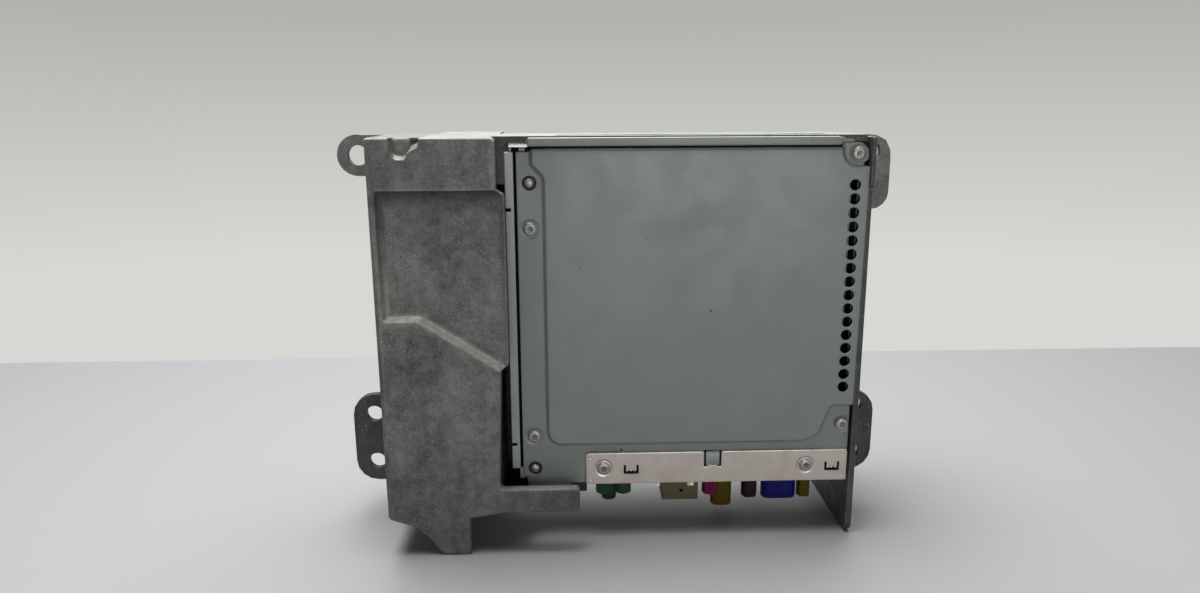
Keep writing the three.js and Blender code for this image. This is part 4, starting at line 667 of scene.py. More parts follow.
table_look = bpy.data.materials.new("table")
table_look.use_nodes = True
table_shader = table_look.node_tree.nodes["Principled BSDF"]
table_shader.inputs["Base Color"].default_value = srgb(158, 158, 160)
table_shader.inputs["Roughness"].default_value = 0.5
REACH, FAR_EDGE = 2, 0.285  # metres
table = bpy.data.meshes.new("table")
table_corners = [(-REACH, -REACH, 0), (REACH, -REACH, 0), (REACH, FAR_EDGE, 0), (-REACH, FAR_EDGE, 0)]
table.from_pydata(table_corners, [], [(0, 1, 2, 3)])
table.materials.append(table_look)
linked("table", table)
bpy.context.scene.view_settings.view_transform = "Standard"
print("stage ready")

# %% [markdown]
# ## Softened copies
#
# Many cast and folded pieces have the right shape in the CAD model, but their edges are perfectly sharp, and
# no real edge is. Such a node is copied, its triangles are merged into flat faces, and a narrow bevel rounds
# its edges. On the casting the bevel's own faces take a paler finish, partly for worn metal, because handling
# wears the stain off the edges first, and partly as a painted highlight where the edges catch the light.

# %% Softened copies of CAD nodes
SAME_PLACE, FLAT_WITHIN, BEVEL_ABOVE = 1e-6, 0.6, 38  # metres, degrees, degrees
BAND_LEFT = -88.0


def in_bmesh(mesh, work, result=None):
    """Opens a mesh for bmesh's tools, lets work(shape) change it, and stores it there or in another mesh."""
    shape = bmesh.new()
    shape.from_mesh(mesh)
    work(shape)
    shape.to_mesh(result or mesh)
    shape.free()


def merge_flats(shape):
    """Merges doubled points, then dissolves the edges between faces that lie in one plane."""
    bmesh.ops.remove_doubles(shape, verts=shape.verts, dist=SAME_PLACE)
    flat = math.radians(FLAT_WITHIN)
    bmesh.ops.dissolve_limit(shape, angle_limit=flat, verts=shape.verts, edges=shape.edges)


def cut_front(shape, depth):
    """Divides the faces at BAND_LEFT, where the finish of the casting's top changes, then cuts away what
    lies in front of a depth and closes the cut."""
    everything = [*shape.verts, *shape.edges, *shape.faces]
    band = Vector((BAND_LEFT / PER_METRE, 0, 0))
    bmesh.ops.bisect_plane(shape, geom=everything, plane_co=band, plane_no=(1, 0, 0))
    everything = [*shape.verts, *shape.edges, *shape.faces]
    cut_at = Vector((0, (depth - MIDDLE_DEPTH) / PER_METRE, 0))
    cut = bmesh.ops.bisect_plane(
        shape, geom=everything, plane_co=cut_at, plane_no=(0, -1, 0), clear_outer=True)
    rim = [part for part in cut["geom_cut"] if isinstance(part, bmesh.types.BMEdge)]
    bmesh.ops.holes_fill(shape, edges=rim)


def face_outwards(made):
    """Recalculates a closed mesh's normals, so that every face looks out of the solid."""
    in_bmesh(made.data, lambda shape: bmesh.ops.recalc_face_normals(shape, faces=shape.faces))


def apply_modifiers(made):
    """Puts the result of the object's modifiers into its mesh and takes them off."""
    bpy.context.view_layer.update()
    made.data = bpy.data.meshes.new_from_object(made.evaluated_get(bpy.context.evaluated_depsgraph_get()))
    made.modifiers.clear()


def keep_flats_flat(made):
    """Shades the mesh smooth between its sharp edges, with normals taken from each point's larger faces."""
    made.data.shade_smooth()
    made.data.set_sharp_from_angle(angle=math.radians(SHARP_ABOVE))
    flatness = made.modifiers.new("flat_faces", "WEIGHTED_NORMAL")
    flatness.weight, flatness.keep_sharp = 100, True
    apply_modifiers(made)


def softened(node, width, look, rim=None, cut_depth=None, name=None):
    """Stands for a CAD node with its sharp edges bevelled by the width in millimetres. The bevel's faces
    take the rim finish where one is given, and what lies in front of a cut_depth is taken off."""
    name = name or node + "_soft"
    mesh = bpy.data.meshes.new(name)
    in_bmesh(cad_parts[node].data, merge_flats, mesh)
    mesh.shade_smooth()
    made = linked(name, mesh)
    bevel = made.modifiers.new("soft_edges", "BEVEL")
    bevel.width, bevel.segments, bevel.use_clamp_overlap = width / PER_METRE, 2, True
    bevel.limit_method, bevel.angle_limit = "ANGLE", math.radians(BEVEL_ABOVE)
    mesh.materials.append(FINISHES[look])
    if rim:
        mesh.materials.append(FINISHES[rim])
        bevel.material = 1
    apply_modifiers(made)
    if cut_depth is not None:
        in_bmesh(made.data, lambda shape: cut_front(shape, cut_depth))
    keep_flats_flat(made)
    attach(made, "chassis")
    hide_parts(node)
    return made


def mesh_points(made):
    """The mesh's points in drawing millimetres."""
    flat = np.zeros(len(made.data.vertices) * 3, np.float32)
    made.data.vertices.foreach_get("co", flat)
    return from_frame(flat.reshape(-1, 3))


def move_points(made, points):
    """Gives the mesh new points in drawing millimetres, and works its normals out again."""
    made.data.vertices.foreach_set("co", to_frame(points).astype(np.float32).ravel())
    keep_flats_flat(made)


def shown_for(node, name, shape, look, smooth_below=SHARP_ABOVE, outwards=False):
    """Makes a piece that is shown in place of a CAD node, and hides the node. Its faces are turned outwards,
    where that is asked for."""
    made = make_object(name, shape, look, smooth_below)
    if outwards:
        face_outwards(made)
    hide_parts(node)
    return made


# %% Faces picked for another finish
FAR = np.inf
ANY = (-FAR, FAR)


def faces_with(x=ANY, y=ANY, z=ANY, across=ANY, away=ANY, up=ANY):
    """Picks the faces whose middle (x, y, z in drawing millimetres) and normal (across, away and up) lie
    between the given limits."""
    low, high = np.array([x, y, z, across, away, up]).T[:, :, None]

    def picked(normals, middles):
        values = np.concatenate([middles, normals])
        return np.all((values > low) & (values < high), axis=0)

    return picked


def faces_around(circles):
    """Picks the faces whose middle lies in one of the circles, each given as x, z and radius."""
    def picked(normals, middles):
        return np.any([np.hypot(middles[0] - x, middles[2] - z) < radius for x, z, radius in circles], axis=0)

    return picked


def finish_where(made, look, picked=None, **limits):
    """Gives a finish to the faces that picked(normals, middles) chooses, or to those within the limits that
    faces_with takes. Returns how many there are."""
    picked = picked or faces_with(**limits)
    count = len(made.data.polygons)
    normals, middles = np.zeros(count * 3), np.zeros(count * 3)
    made.data.polygons.foreach_get("normal", normals)
    made.data.polygons.foreach_get("center", middles)
    slots = np.zeros(count, np.int32)
    made.data.polygons.foreach_get("material_index", slots)
    here = picked(normals.reshape(-1, 3).T, from_frame(middles.reshape(-1, 3)).T)
    made.data.materials.append(FINISHES[look])
    slots[here] = len(made.data.materials) - 1
    made.data.polygons.foreach_set("material_index", slots)
    return int(here.sum())


print("bevels round the edges that bend by more than", BEVEL_ABOVE, "degrees")

# %% [markdown]
# ## The casting's front
#
# The wing's front is a die-cast face: a flat rim and a top block in front, and a shallow pocket drawn in with
# sloping sides, whose lower ledge falls away to the right. At the top is a notch with a squarish boss in it.
# The arm reaches under the case and the toe stands on the table. All of it is one relief, with a mask that
# pales its rims, for worn metal and as painted highlight, and darkens other places as painted shade.

# %% Wing outline, pocket and notch
LEFT, LEFT_TOP, WING_RIGHT, HEIGHT = -111.0, -111.5, -55.6, 197.6
POCKET_LEFT, SHELF_RIGHT, POCKET_BEND = -108.6, -52.0, -92.1
POCKET_TOP, POCKET_LOW, POCKET_END = 175.0, 115.7, 91.9
FRONT_BACK, POCKET_DEPTH, POCKET_SLOPE = 4.5, 3.0, 2.2
ARM_LEFT, ARM_RIGHT, ARM_LOW, ARM_TOP = -55.6, -19.8, 21.3, 33.2
TOE_RIGHT, TOE_TOP = -72.3, 19.1
PAST = 8.0  # how far an outline runs on past the edge that ends the piece

wing_outline = rounded([
    [LEFT_TOP, HEIGHT, 0.8], [LEFT, TOE_TOP, 2.5], [-98.4, 14.7, 2.5], [-91.6, 8.2, 2.5], [-85.3, 0, 2.5],
    [TOE_RIGHT, 0, 1.3], [TOE_RIGHT, TOE_TOP, 1.5], [TOE_RIGHT + 2, TOE_TOP, 1.2],
    [ARM_LEFT, ARM_LOW, 2], [ARM_RIGHT, ARM_LOW, 2.2], [ARM_RIGHT, ARM_TOP, 2.2], [-57.7, ARM_TOP, 2.5],
    [WING_RIGHT, POCKET_END, 1.5], [SHELF_RIGHT, POCKET_END + 2.2, 2.2],
    [SHELF_RIGHT, POCKET_TOP - 2.2, 2.2], [WING_RIGHT, POCKET_TOP, 0.8], [WING_RIGHT, HEIGHT, 2.2],
    [BAND_LEFT, HEIGHT],
], steps=5)
ledge_fall = (POCKET_LOW - POCKET_END) / (WING_RIGHT - POCKET_BEND)
pocket_outline = rounded([
    [POCKET_LEFT, POCKET_TOP, 2.0], [POCKET_LEFT, POCKET_LOW, 2.0], [POCKET_BEND, POCKET_LOW, 3.0],
    [SHELF_RIGHT + PAST, POCKET_LOW - ledge_fall * (SHELF_RIGHT + PAST - POCKET_BEND)],
    [SHELF_RIGHT + PAST, POCKET_TOP],
], steps=5)
NOTCH_LOW = np.array([
    (-101.3, 193.0), (-100.7, 190.6), (-99.4, 188.9), (-97.8, 188.2), (-94.6, 188.1), (-93.5, 189.4),
    (-93.3, 190.7), (-91.1, 192.3), (-88.5, 193.4), (-87.9, 196.4), (-87.8, HEIGHT + PAST),
])
NOTCH_DEPTH, NOTCH_SLOPE = 3.8, 3.2
notch_outline = np.vstack([NOTCH_LOW, [(NOTCH_LOW[0, 0], HEIGHT + PAST)]])
print("the pocket's ledge falls", round(ledge_fall, 2), "mm for each mm to the right")

# %% The casting's front as a relief
def notch_depth(x, z):
    """Steep at the sides, and from below a slope that leads to the full depth over its height."""
    side = ramp(depth_inside(np.column_stack([x, z]), notch_outline) / 0.3)
    return NOTCH_DEPTH * side * ramp((z - np.interp(x, *NOTCH_LOW.T)) / NOTCH_SLOPE + 0.1)


def wing_depth(flat):
    """Depth of the casting's front: the rounded outer edge, plus the pocket's slope over its width, plus
    the notch's, plus a slow waviness of a few hundredths, as a die leaves. Under the pocket's top edge
    the slope is longer."""
    x, z = flat.T
    to_edge = distance_to(flat, wing_outline)
    depth = edge_round(to_edge, 0.9)
    into_pocket = np.minimum(depth_inside(flat, pocket_outline) / POCKET_SLOPE, 0.3 + (POCKET_TOP - z) / 7.5)
    depth += POCKET_DEPTH * ramp(into_pocket)
    wave = 0.05 + 0.05 * np.sin(x / 7.1 + 0.9 * np.sin(z / 23)) * np.cos(z / 11.3 + 1.7 * np.sin(x / 19))
    return np.minimum(depth + notch_depth(x, z), FRONT_BACK - 0.3) + wave * np.clip(to_edge / 2, 0, 1)


wing_lines = [drawn_in(wing_outline, d) for d in (0.12, 0.4, 0.9, 1.2)]
wing_lines += [drawn_in(pocket_outline, d) for d in (-0.35, 0, 0.35, 0.8, 1.4, 1.85, 2.2, 2.6)]
wing_lines += [drawn_in(notch_outline, d) for d in (-0.25, 0, 0.3)]
wing_lines += [drawn_in(notch_outline, 0.35) + (0, rise) for rise in (0.5, 1.1, 1.8, 2.5, NOTCH_SLOPE)]
wing_shape = relief(divided(wing_outline, 5.0), wing_depth, FRONT_BACK, features=wing_lines, spacing=3.5)
wing = shown_for("chassis_casting", "wing_front", wing_shape, "cast_front", smooth_below=50)
print("wing front", len(wing_shape[0]), "points")

# %% Wear, painted highlights and painted shade on the casting's front
def near_line(distance, width):
    """1 on a line, falling off with the square of the distance from it."""
    return np.exp(-(distance / width) ** 2)


def rim_wear_and_painted_light(points):
    """Over 0 for paler metal, partly worn and partly a painted highlight: the front's top edge, the right
    edge of the top block, the ledge under the pocket, the pocket's top rim and the arm's top. Under 0 for
    painted
    shade: below the pocket's top edge, down its left side and the strip beside it, on the arm and toe, and
    darker towards the bottom."""
    flat = points[:, [0, 2]]
    x, z = flat.T
    # Paler where edges and ledges catch the light: partly worn metal, partly a painted highlight.
    share = 0.1 + np.where(x > BAND_LEFT, 0.42, 0.2) * (z > HEIGHT - 2)
    share = share + 0.35 * ((x > WING_RIGHT - 3) & (z > POCKET_TOP)) + 0.25 * (x > -54) * (z > 33)
    outer = near_line(distance_to(flat, wing_outline), 0.6) * share
    into = depth_inside(flat, pocket_outline)
    ledge = np.clip((POCKET_LOW + 6 - z) / 3, 0, 1) * (z < POCKET_LOW + 6)
    rims = np.maximum(0.55 * near_line(into, 0.5), near_line(into - POCKET_SLOPE, 0.5))
    bare_and_lit = np.maximum.reduce([outer, rims * 0.85 * ledge, 0.5 * (into > 0) * (into < POCKET_SLOPE) * ledge])
    bare_and_lit = np.maximum(bare_and_lit, 0.25 * near_line(POCKET_TOP + 0.6 - z, 0.6) * (x > POCKET_LEFT))
    # Painted shade below the pocket's top edge, down its left side, on the arm and toe, and low down.
    below_top = near_line(np.maximum(POCKET_TOP - z, 0), 7.0) * (into > 0.2)
    left_side = near_line(x - POCKET_LEFT - 1.4, 1.1) * (into > 0) * (1 - ledge)
    strip_left = (x < POCKET_LEFT + 0.2) * (z < POCKET_TOP) * (z > POCKET_LOW)
    arm = np.clip((x + 60) / 6, 0, 1) * (z < 36)
    toe = 0.6 * np.clip((30 - z) / 12, 0, 1) * (x < -66)
    low_part = 0.2 * np.clip((60 - z) / 30, 0, 1)
    painted_shade = [0.72 * below_top, 0.5 * left_side, 0.2 * strip_left, 0.46 * arm, 0.3 * toe, low_part]
    return np.where(bare_and_lit > 0.08, bare_and_lit, -np.maximum.reduce(painted_shade))


def on_notch(low, high):
    """Picks the wing's faces inside the notch's outline whose depth lies between two values."""
    def picked(normals, middles):
        x, y, z = middles
        inner = inside(np.column_stack([x, z]), notch_outline) & (x > -99.3)
        return inner & (y > low) & (y < high) & (normals[1] < 0.5)

    return picked


# Each point stores its value: over 0 pales the metal as wear and painted highlight, under 0 paints shade
wear_and_light = wing.data.attributes.new("wear_and_light", "FLOAT", "POINT")
wear_and_light.data.foreach_set("value", rim_wear_and_painted_light(mesh_points(wing)).astype(np.float32))
# Paler copies paint highlights on the top faces and notch ledges; a darker one paints the notch's shade.
finish_where(wing, "cast_lit_crown", z=(HEIGHT - 1.2, FAR), up=(0.6, FAR))
finish_where(wing, "cast_front", x=(-FAR, BAND_LEFT), z=(HEIGHT - 1.2, FAR), up=(0.6, FAR))
finish_where(wing, "cast_highlight", on_notch(0.25, 3.3))
print(finish_where(wing, "cast_deep_shade", on_notch(3.3, 4.4)), "faces at the bottom of the notch")

# %% The boss in the notch and the frame behind the front
BOSS_X, BOSS_RADIUS, BOSS_FRONT, BOSS_POINTS = -96.0, 5.2, 2.7, 33
# Height and radius of each ring
BOSS_RINGS = [(186.0, 5.0), (190.0, 5.1), (195.0, 5.2), (196.4, 5.15), (197.1, 4.95), (197.45, 4.6),
              (197.58, 4.1)]
half_turn = math.pi * np.linspace(0, 1, BOSS_POINTS)
# A circle's cosine and sine raised to a power under 1 stand further out between the axes: a squarish ring
squarish = [np.sign(value) * np.abs(value) ** 0.62 for value in (np.cos(half_turn), np.sin(half_turn))]
boss = loft([
    np.column_stack([BOSS_X + reach * squarish[0], BOSS_FRONT + BOSS_RADIUS - reach * squarish[1],
                     np.full(BOSS_POINTS, level)])
    for level, reach in BOSS_RINGS
])
shown_for("chassis_casting", "notch_boss", boss, "cast_aluminium", 60, outwards=True)

# The rest is the CAD solid, with its left side and the arm's top moved to where the front has them
CAD_LEFT, CAD_ARM_TOP = -110.3, 34.3
# The rest takes the darker copy of the cast finish, which paints shade, and paler bevels.
rest = softened("chassis_casting", 0.5, "cast_shade", "cast_worn_and_lit_rim", FRONT_BACK + 0.1, "frame_body")
rest_points = mesh_points(rest)
x, y, z = rest_points.T
on_arm = (x > -57) & (x < -19) & (np.abs(z - 34) < 0.6) & (y < 16)
leftwards = (np.abs(x - CAD_LEFT) < 0.7) * (0.5 + 0.5 * np.clip(z / HEIGHT, 0, 1))
rest_points -= np.column_stack([leftwards, 0 * y, (CAD_ARM_TOP - ARM_TOP) * on_arm])
move_points(rest, rest_points)
# Painted light on the upper ears, painted shade in the recess by the clip, painted highlight on top faces.
finish_where(rest, "cast_lit_ear", x=(-FAR, -111), z=(150, FAR))
finish_where(rest, "cast_deep_shade", x=(-56, -44), away=(-FAR, 0.5))
print(finish_where(rest, "cast_lit_top", z=(194, FAR), up=(0.6, FAR)), "upper frame faces")
finish_where(rest, "cast_worn_and_lit_rim", x=(-FAR, BAND_LEFT), z=(194, FAR), up=(0.6, FAR))

# %% [markdown]
# ## The painted lid
#
# The lid is pressed from thin steel: a raised field runs out to the top and right edges and drops to a flat
# border on the left and along the bottom, where its screws sit in shallow dimples. Its top edge folds back
# over the case. The press leaves soft ramps, so the lid is a relief again, with the ramp's own offset lines
# as mesh edges.

# %% Lid outline, field and holes
LID_BACK, FIELD_RISE, SHEET = 16.0, 1.9, 1.0
LID_TOP, LID_RIGHT, LID_LEFT, LID_LOW, STEP = 192.0, 114.9, -47.4, 31.3, 67.6
lid_outline = rounded([
    [LID_LEFT, 34.6, 0.5], [-45.5, LID_LOW, 0.5], [113.0, LID_LOW, 0.5], [113.0, STEP, 0.3],
    [LID_RIGHT - 0.9, STEP, 0.5], [LID_RIGHT, 183.1, 0.5], [112.6, 183.5, 0.5], [112.2, 184.7, 0.5],
    [114.4, 186.4, 1.4], [114.3, 191.0, 3.0], [110.9, 194.0, 2.6], [101.8, 194.2, 0.6], [101.5, LID_TOP, 0.2],
    [-40.2, LID_TOP, 0.3], [-41.6, 190.7, 0.6], [LID_LEFT, 190.7, 0.5],
], steps=4)
field_outline = rounded([
    [-40.6, LID_TOP + PAST], [-40.6, 185, 1.5], [-35, 179, 4], [-35, 49.5, 7], [90.7, 49.5, 5],
    [97.9, 53.2, 5], [100.5, 61, 4], [103.1, STEP, 1.2], [LID_RIGHT + PAST, STEP],
    [LID_RIGHT + PAST, 182.9], [102.2, 182.9, 7.5], [102.2, LID_TOP + PAST],
], steps=8)
LID_SCREWS = [(-41.5, 155.5), (-41.5, 53.9), (109.5, 189.1), (109.3, 57.7)]
STRIP_SCREWS = [(-7.9, 37.1), (92.0, 37.1)]
DAMPERS = [(-41.5, 176.6), (-41.5, 37.1)]
VENTS = [(108.2, 174.9 - 6.5 * i) for i in range(16)]
VENT_RADIUS, DAMPER_RADIUS = 2.5, 3.25
OPENINGS = [(x, z, VENT_RADIUS) for x, z in VENTS] + [(x, z, DAMPER_RADIUS) for x, z in DAMPERS]
# Left, low, width and height of the strip's two windows, and of the notch that the lid's tab fills
WINDOWS = [(1.9, 33.7, 7.4, 4.8), (101.5, 33.7, 7.4, 4.8)]
NOTCH = (41.6, 36.9, 8.4, 8.2)
BEHIND_STRIP = [*WINDOWS, NOTCH]
STRIP_DISH = (-7.5, 37.1, 10.7)
PIERCED = (0.8, 46.0)
print(len(OPENINGS), "round openings in the lid")

# %% Lid as a relief
def round_dish(flat, x, z, radius, slope, depth):
    """A shallow round dish: its full depth inside the radius less the slope, and none outside the radius."""
    return depth * ramp((radius - np.hypot(flat[:, 0] - x, flat[:, 1] - z)) / slope)


def lid_depth(flat):
    """Border depth, less the field's rise over a ramp, plus dishes at the screws, rounded vents and a rounded
    fold, less a sway of a tenth of a millimetre."""
    x, z = flat.T
    field = ramp((depth_inside(flat, field_outline) + 0.9) / 1.8)
    depth = LID_BACK - FIELD_RISE * field + edge_round(distance_to(flat, lid_outline), 0.4)
    for screw_x, screw_z in LID_SCREWS:
        depth += round_dish(flat, screw_x, screw_z, 4.6, 0.7, 0.28)
    depth += round_dish(flat, *STRIP_DISH, 0.6, 0.5) * (z > 44)
    for hole_x, hole_z, radius in OPENINGS:
        depth += edge_round(np.abs(np.hypot(x - hole_x, z - hole_z) - radius), 0.35)
    fold = edge_round(np.maximum(LID_TOP - z, 0), 1.3) * field
    sway = 0.09 * np.sin(math.pi * (x + 45) / 158) * np.sin(math.pi * (z - 31) / 161)
    return depth + fold - sway


lid_holes = [ring(x, z, VENT_RADIUS, 20) for x, z in VENTS]
lid_holes += [ring(x, z, DAMPER_RADIUS, 24) for x, z in DAMPERS]
lid_lines = [drawn_in(lid_outline, d) for d in (0.12, 0.4, 0.7)]
lid_lines += [drawn_in(field_outline, d) for d in (-1.3, -0.9, -0.5, 0.0, 0.5, 0.9, 1.3)]
lid_lines += [ring(x, z, radius, 28) for x, z in LID_SCREWS for radius in (3.6, 3.9, 4.25, 4.6, 4.9)]
lid_lines += [ring(*STRIP_DISH[:2], radius, 40) for radius in (9.8, 10.1, 10.7, 11.0)]
lid_lines += [rectangle(x, z, x + wide, z + high) for x, z, wide, high in BEHIND_STRIP]
lid_lines += [ring(*PIERCED, 0.6, 10)]
lid_lines += [ring(x, z, radius, 20) for x, z in VENTS for radius in (2.62, 2.85, 3.1)]
lid_lines += [ring(x, z, radius, 24) for x, z in DAMPERS for radius in (3.37, 3.6, 3.9)]
lid_lines += [rectangle(-60, LID_TOP - d, 130, LID_TOP + 9) for d in (0.15, 0.5, 1.3)]
lid_parts = [
    relief(divided(lid_outline, 8.0), lid_depth, lambda flat: lid_depth(flat) + SHEET, lid_holes, lid_lines,
           spacing=7.0),
    # The fold over the case's top
    relief(rectangle(-35, 190.8, 101, LID_TOP), 15.4, 24.0),
    # The tab in the strip's notch
    relief(rectangle(42.5, 37.6, 49.1, 45.6, 0.3, steps=3),
           lambda flat: 14.9 + 1.1 * ramp((flat[:, 1] - 43.9) / 1.7), 16.2,
           features=[rectangle(40, level, 52, 60) for level in (37.9, 43.9, 44.5, 45.0)]),
    # The lip, black to paint the shade there, and the hem below the lower left edge
    relief(rounded([[-45.2, 26.5], [-24.0, 26.5], [-24.0, 28.6], [-17, 28.6], [-17, 31.6], [-45.2, 31.6]]),
           17.4, 18.2),
    relief(rectangle(-45.3, 30.0, -16, 32.6, 0.3), 16.0, 17.0),
]
lid = shown_for("case_lid", "lid", joined(*lid_parts), "satin_paint", smooth_below=40)

# %% Painted shade and painted highlights on the lid
def in_openings(normals, middles):
    """Picks the lid's near faces behind the strip's windows and beside the tab, and the small round hole."""
    behind = [faces_with(x=(left, left + wide), y=(15.5, 16.1), z=(low, low + high))(normals, middles)
              for left, low, wide, high in BEHIND_STRIP]
    return np.any(behind, axis=0) | faces_around([(*PIERCED, 0.55)])(normals, middles)


# Black faces paint the shade behind the windows, beside the tab, in the small hole, on the left edge, on the
# lip and around the openings. A paler paint lifts the lower left border out of the field's shadow, and a pale
# one paints the highlight on the fold.
finish_where(lid, "unlit_gap", in_openings)
finish_where(lid, "unlit_gap", x=(-FAR, LID_LEFT + 0.2), across=(-FAR, -0.5))
finish_where(lid, "unlit_gap", x=(-FAR, -16.9), y=(17.3, FAR), z=(-FAR, 31.7))
finish_where(lid, "unlit_gap", faces_around([(x, z, radius + 0.05) for x, z, radius in OPENINGS]))
finish_where(lid, "hem_lit_paint", x=(-FAR, -17), z=(-FAR, 37.2), away=(-FAR, -0.5))
finish_where(lid, "fold_highlight_paint", x=(-40, 101), y=(-FAR, 15.6), z=(191.2, FAR), away=(-FAR, 0.3))
print("lid", len(lid.data.polygons), "faces")

# %% [markdown]
# ## Marks on the lid
#
# An ink dot and a few specks sit on the paint. Each is a flat round spot turned about its own
# axis, laid at the depth that the lid's own height function gives for its place.

# %% Small marks on the lid
def spot(name, x, y, z, radius, look, swell=0.03):
    """A thin round spot that lies on a face towards the viewer."""
    profile = [(radius, y + 0.05), (radius, y), (radius * 0.6, y - swell), (0.02, y - swell)]
    make_object(name, turned_y(profile, x, z, 16), look)


def spot_on_lid(name, x, z, sunk, radius, look):
    """A spot at the lid's own depth there, a little less what it is sunk."""
    spot(name, x, lid_depth(np.array([[x, z]]))[0] - sunk, z, radius, look)


spot_on_lid("inspection_dot", 43.0, 116.1, 0.02, 0.62, "marking_ink")
for number, (x, z) in enumerate([(41.8, 179.4), (7.6, 172.4), (-18.7, 137.4)], 1):
    spot_on_lid(f"lid_speck_{number}", x, z, 0.01, 0.3, "black_rubber")
print("marks made")

# %% [markdown]
# ## The connector strip
#
# A zinc-plated strip is screwed over the lid's lower edge. It has a notch that a tab of the lid fills, two
# windows cut as a U with a tongue left between, and a flange that turns back under the case. A relief with
# real windows suits it, because the light then catches the cut edges and the dishes at its screws.

# %% Connector strip
STRIP_FRONT, STRIP_LEFT, STRIP_RIGHT, STRIP_LOW, STRIP_TOP = 14.6, -16.8, 112.7, 28.6, 44.9
notch_left, notch_low, notch_right = NOTCH[0], NOTCH[1], NOTCH[0] + NOTCH[2]
strip_outline = rounded([
    [STRIP_LEFT, STRIP_LOW, 0.5], [STRIP_RIGHT, STRIP_LOW, 0.5], [STRIP_RIGHT, STRIP_TOP, 1.5],
    [notch_right, STRIP_TOP, 1.2], [notch_right, notch_low, 0.3], [notch_right - 1.7, notch_low, 0.2],
    [notch_right - 1.9, 37.6, 0.2], [notch_left + 1.9, 37.6, 0.2], [notch_left + 1.7, notch_low, 0.2],
    [notch_left, notch_low, 0.3], [notch_left, STRIP_TOP, 1.2], [STRIP_LEFT, STRIP_TOP, 1.5],
], steps=4)
strip_windows = [rounded([
    [x, z, 0.3], [x + wide, z, 0.3], [x + wide, z + high, 0.3], [x + wide - 1.1, z + high, 0.3],
    [x + wide - 1.2, z + 1.5, 0.2], [x + wide - 2.2, z + 1.5, 0.2], [x + wide / 2, z + 2.9, 0.2],
    [x + 2.2, z + 1.5, 0.2], [x + 1.2, z + 1.5, 0.2], [x + 1.1, z + high, 0.3], [x, z + high, 0.3],
], steps=3) for x, z, wide, high in WINDOWS]
PRICKS = [(-14.2, 42.4), (39.4, 42.4), (52.4, 42.4), (110.0, 42.4), (-14.2, 31.2), (110.0, 31.2)]


def strip_depth(flat):
    """The strip's near face: rounded edges, a dish and a raised seat at each screw, and small pricks."""
    depth = STRIP_FRONT + edge_round(distance_to(flat, strip_outline), 0.35)
    for x, z in STRIP_SCREWS:
        depth += round_dish(flat, x, z, 4.5, 0.5, 0.35) - round_dish(flat, x, z, 3.6, 0.4, 0.15)
    for x, z in PRICKS:
        depth += round_dish(flat, x, z, 0.6, 0.4, 0.3)
    return depth


strip_lines = [drawn_in(strip_outline, d) for d in (0.1, 0.35, 0.6)]
strip_lines += [ring(x, z, radius, 28) for x, z in STRIP_SCREWS for radius in (3.2, 3.6, 4.0, 4.5, 4.8)]
strip_lines += [ring(x, z, radius, 12) for x, z in PRICKS for radius in (0.2, 0.6, 0.8)]
strip_lines += [drawn_in(window, -d) for window in strip_windows for d in (0.2, 0.45)]
strip_parts = [
    relief(divided(strip_outline, 6.0), strip_depth, lambda flat: strip_depth(flat) + SHEET, strip_windows,
           strip_lines, 4.0),
    relief(rectangle(-15.3, STRIP_LOW, 111, STRIP_LOW + 1), 15.3, 24.8),
]
for left in (16.8, 33.6):
    tab_edge = ring(left + 1.5, 28.4, 9, 8)
    strip_parts.append(relief(
        rectangle(left, 27.0, left + 3, 29.4, 0.4, steps=3),
        lambda flat: STRIP_FRONT + 0.1 + edge_round(distance_to(flat, tab_edge), 0.2), 15.5))
strip = shown_for("connector_strip", "connector_strip_face", joined(*strip_parts), "zinc_plating",
                  smooth_below=40)
# The tabs' near-white fronts and the spots in the windows are a painted highlight and painted glints.
finish_where(strip, "bright_tab_highlight", z=(-FAR, 28.5), away=(-FAR, -0.3))
for number, (x, z, wide, high) in enumerate(WINDOWS, 1):
    spot(f"window_glint_{number}", x + wide / 2, 15.3, z + 1.9, 0.75, "bright_tab_highlight", 0.4)
print("strip", len(strip.data.polygons), "faces")

# %% [markdown]
# ## Screws, damper pins and rings
#
# Each screw has a flange, a low domed head and a six-lobed recess. Turning a profile gives the dome; letting
# the recess rows swell and shrink six times around the axis gives the lobes, all in one grid.

# %% Fasteners
RECESS_ROWS = (9, 10)


def lobes(angles, row):
    """1 outside the recess rows, and 1 + 0.13 cos(6 a) on them, which draws the six lobes."""
    return 1 + (0.13 * np.cos(6 * angles) if row in RECESS_ROWS else 0 * angles)


def screw(node, x, seat, z, length):
    """Stands for a screw node: a shank behind the seat, then flange, dome and lobed recess in front of
    it. Each pair is a radius and how far it stands out."""
    profile = [
        (1.2, -length), (1.2, 0), (3.1, 0), (3.2, 0.12), (3.2, 0.5), (3.05, 0.85), (2.6, 1.12), (2.1, 1.24),
        (1.5, 1.3), (1.38, 1.24), (1.24, 0.75), (0.62, 0.7), (0.5, 0.95), (0.1, 1.0),
    ]
    shape = turned_y([(radius, seat - out) for radius, out in profile], x, z, 36, lobes)
    made = shown_for(node, node + "_head", shape, "screw_zinc", 38, outwards=True)
    # The recess takes a darker finish that paints its shade.
    finish_where(made, "screw_recess_shade", faces_around([(x, z, 1.4)]))


for number, (x, z) in enumerate(LID_SCREWS, 1):
    screw(f"lid_screw_{number}", x, LID_BACK - 0.3, z, 2.5)
for number, (x, z) in enumerate(STRIP_SCREWS, 1):
    screw(f"strip_screw_{number}", x, STRIP_FRONT - 0.3, z, 4.0)

# Radius and depth down the pin's profile
PIN = [(1.2, 19.0), (1.2, 17.0), (2.1, 17.0), (2.1, 16.0), (2.02, 15.6), (1.7, 15.2), (1.1, 14.96),
       (0.4, 14.9)]
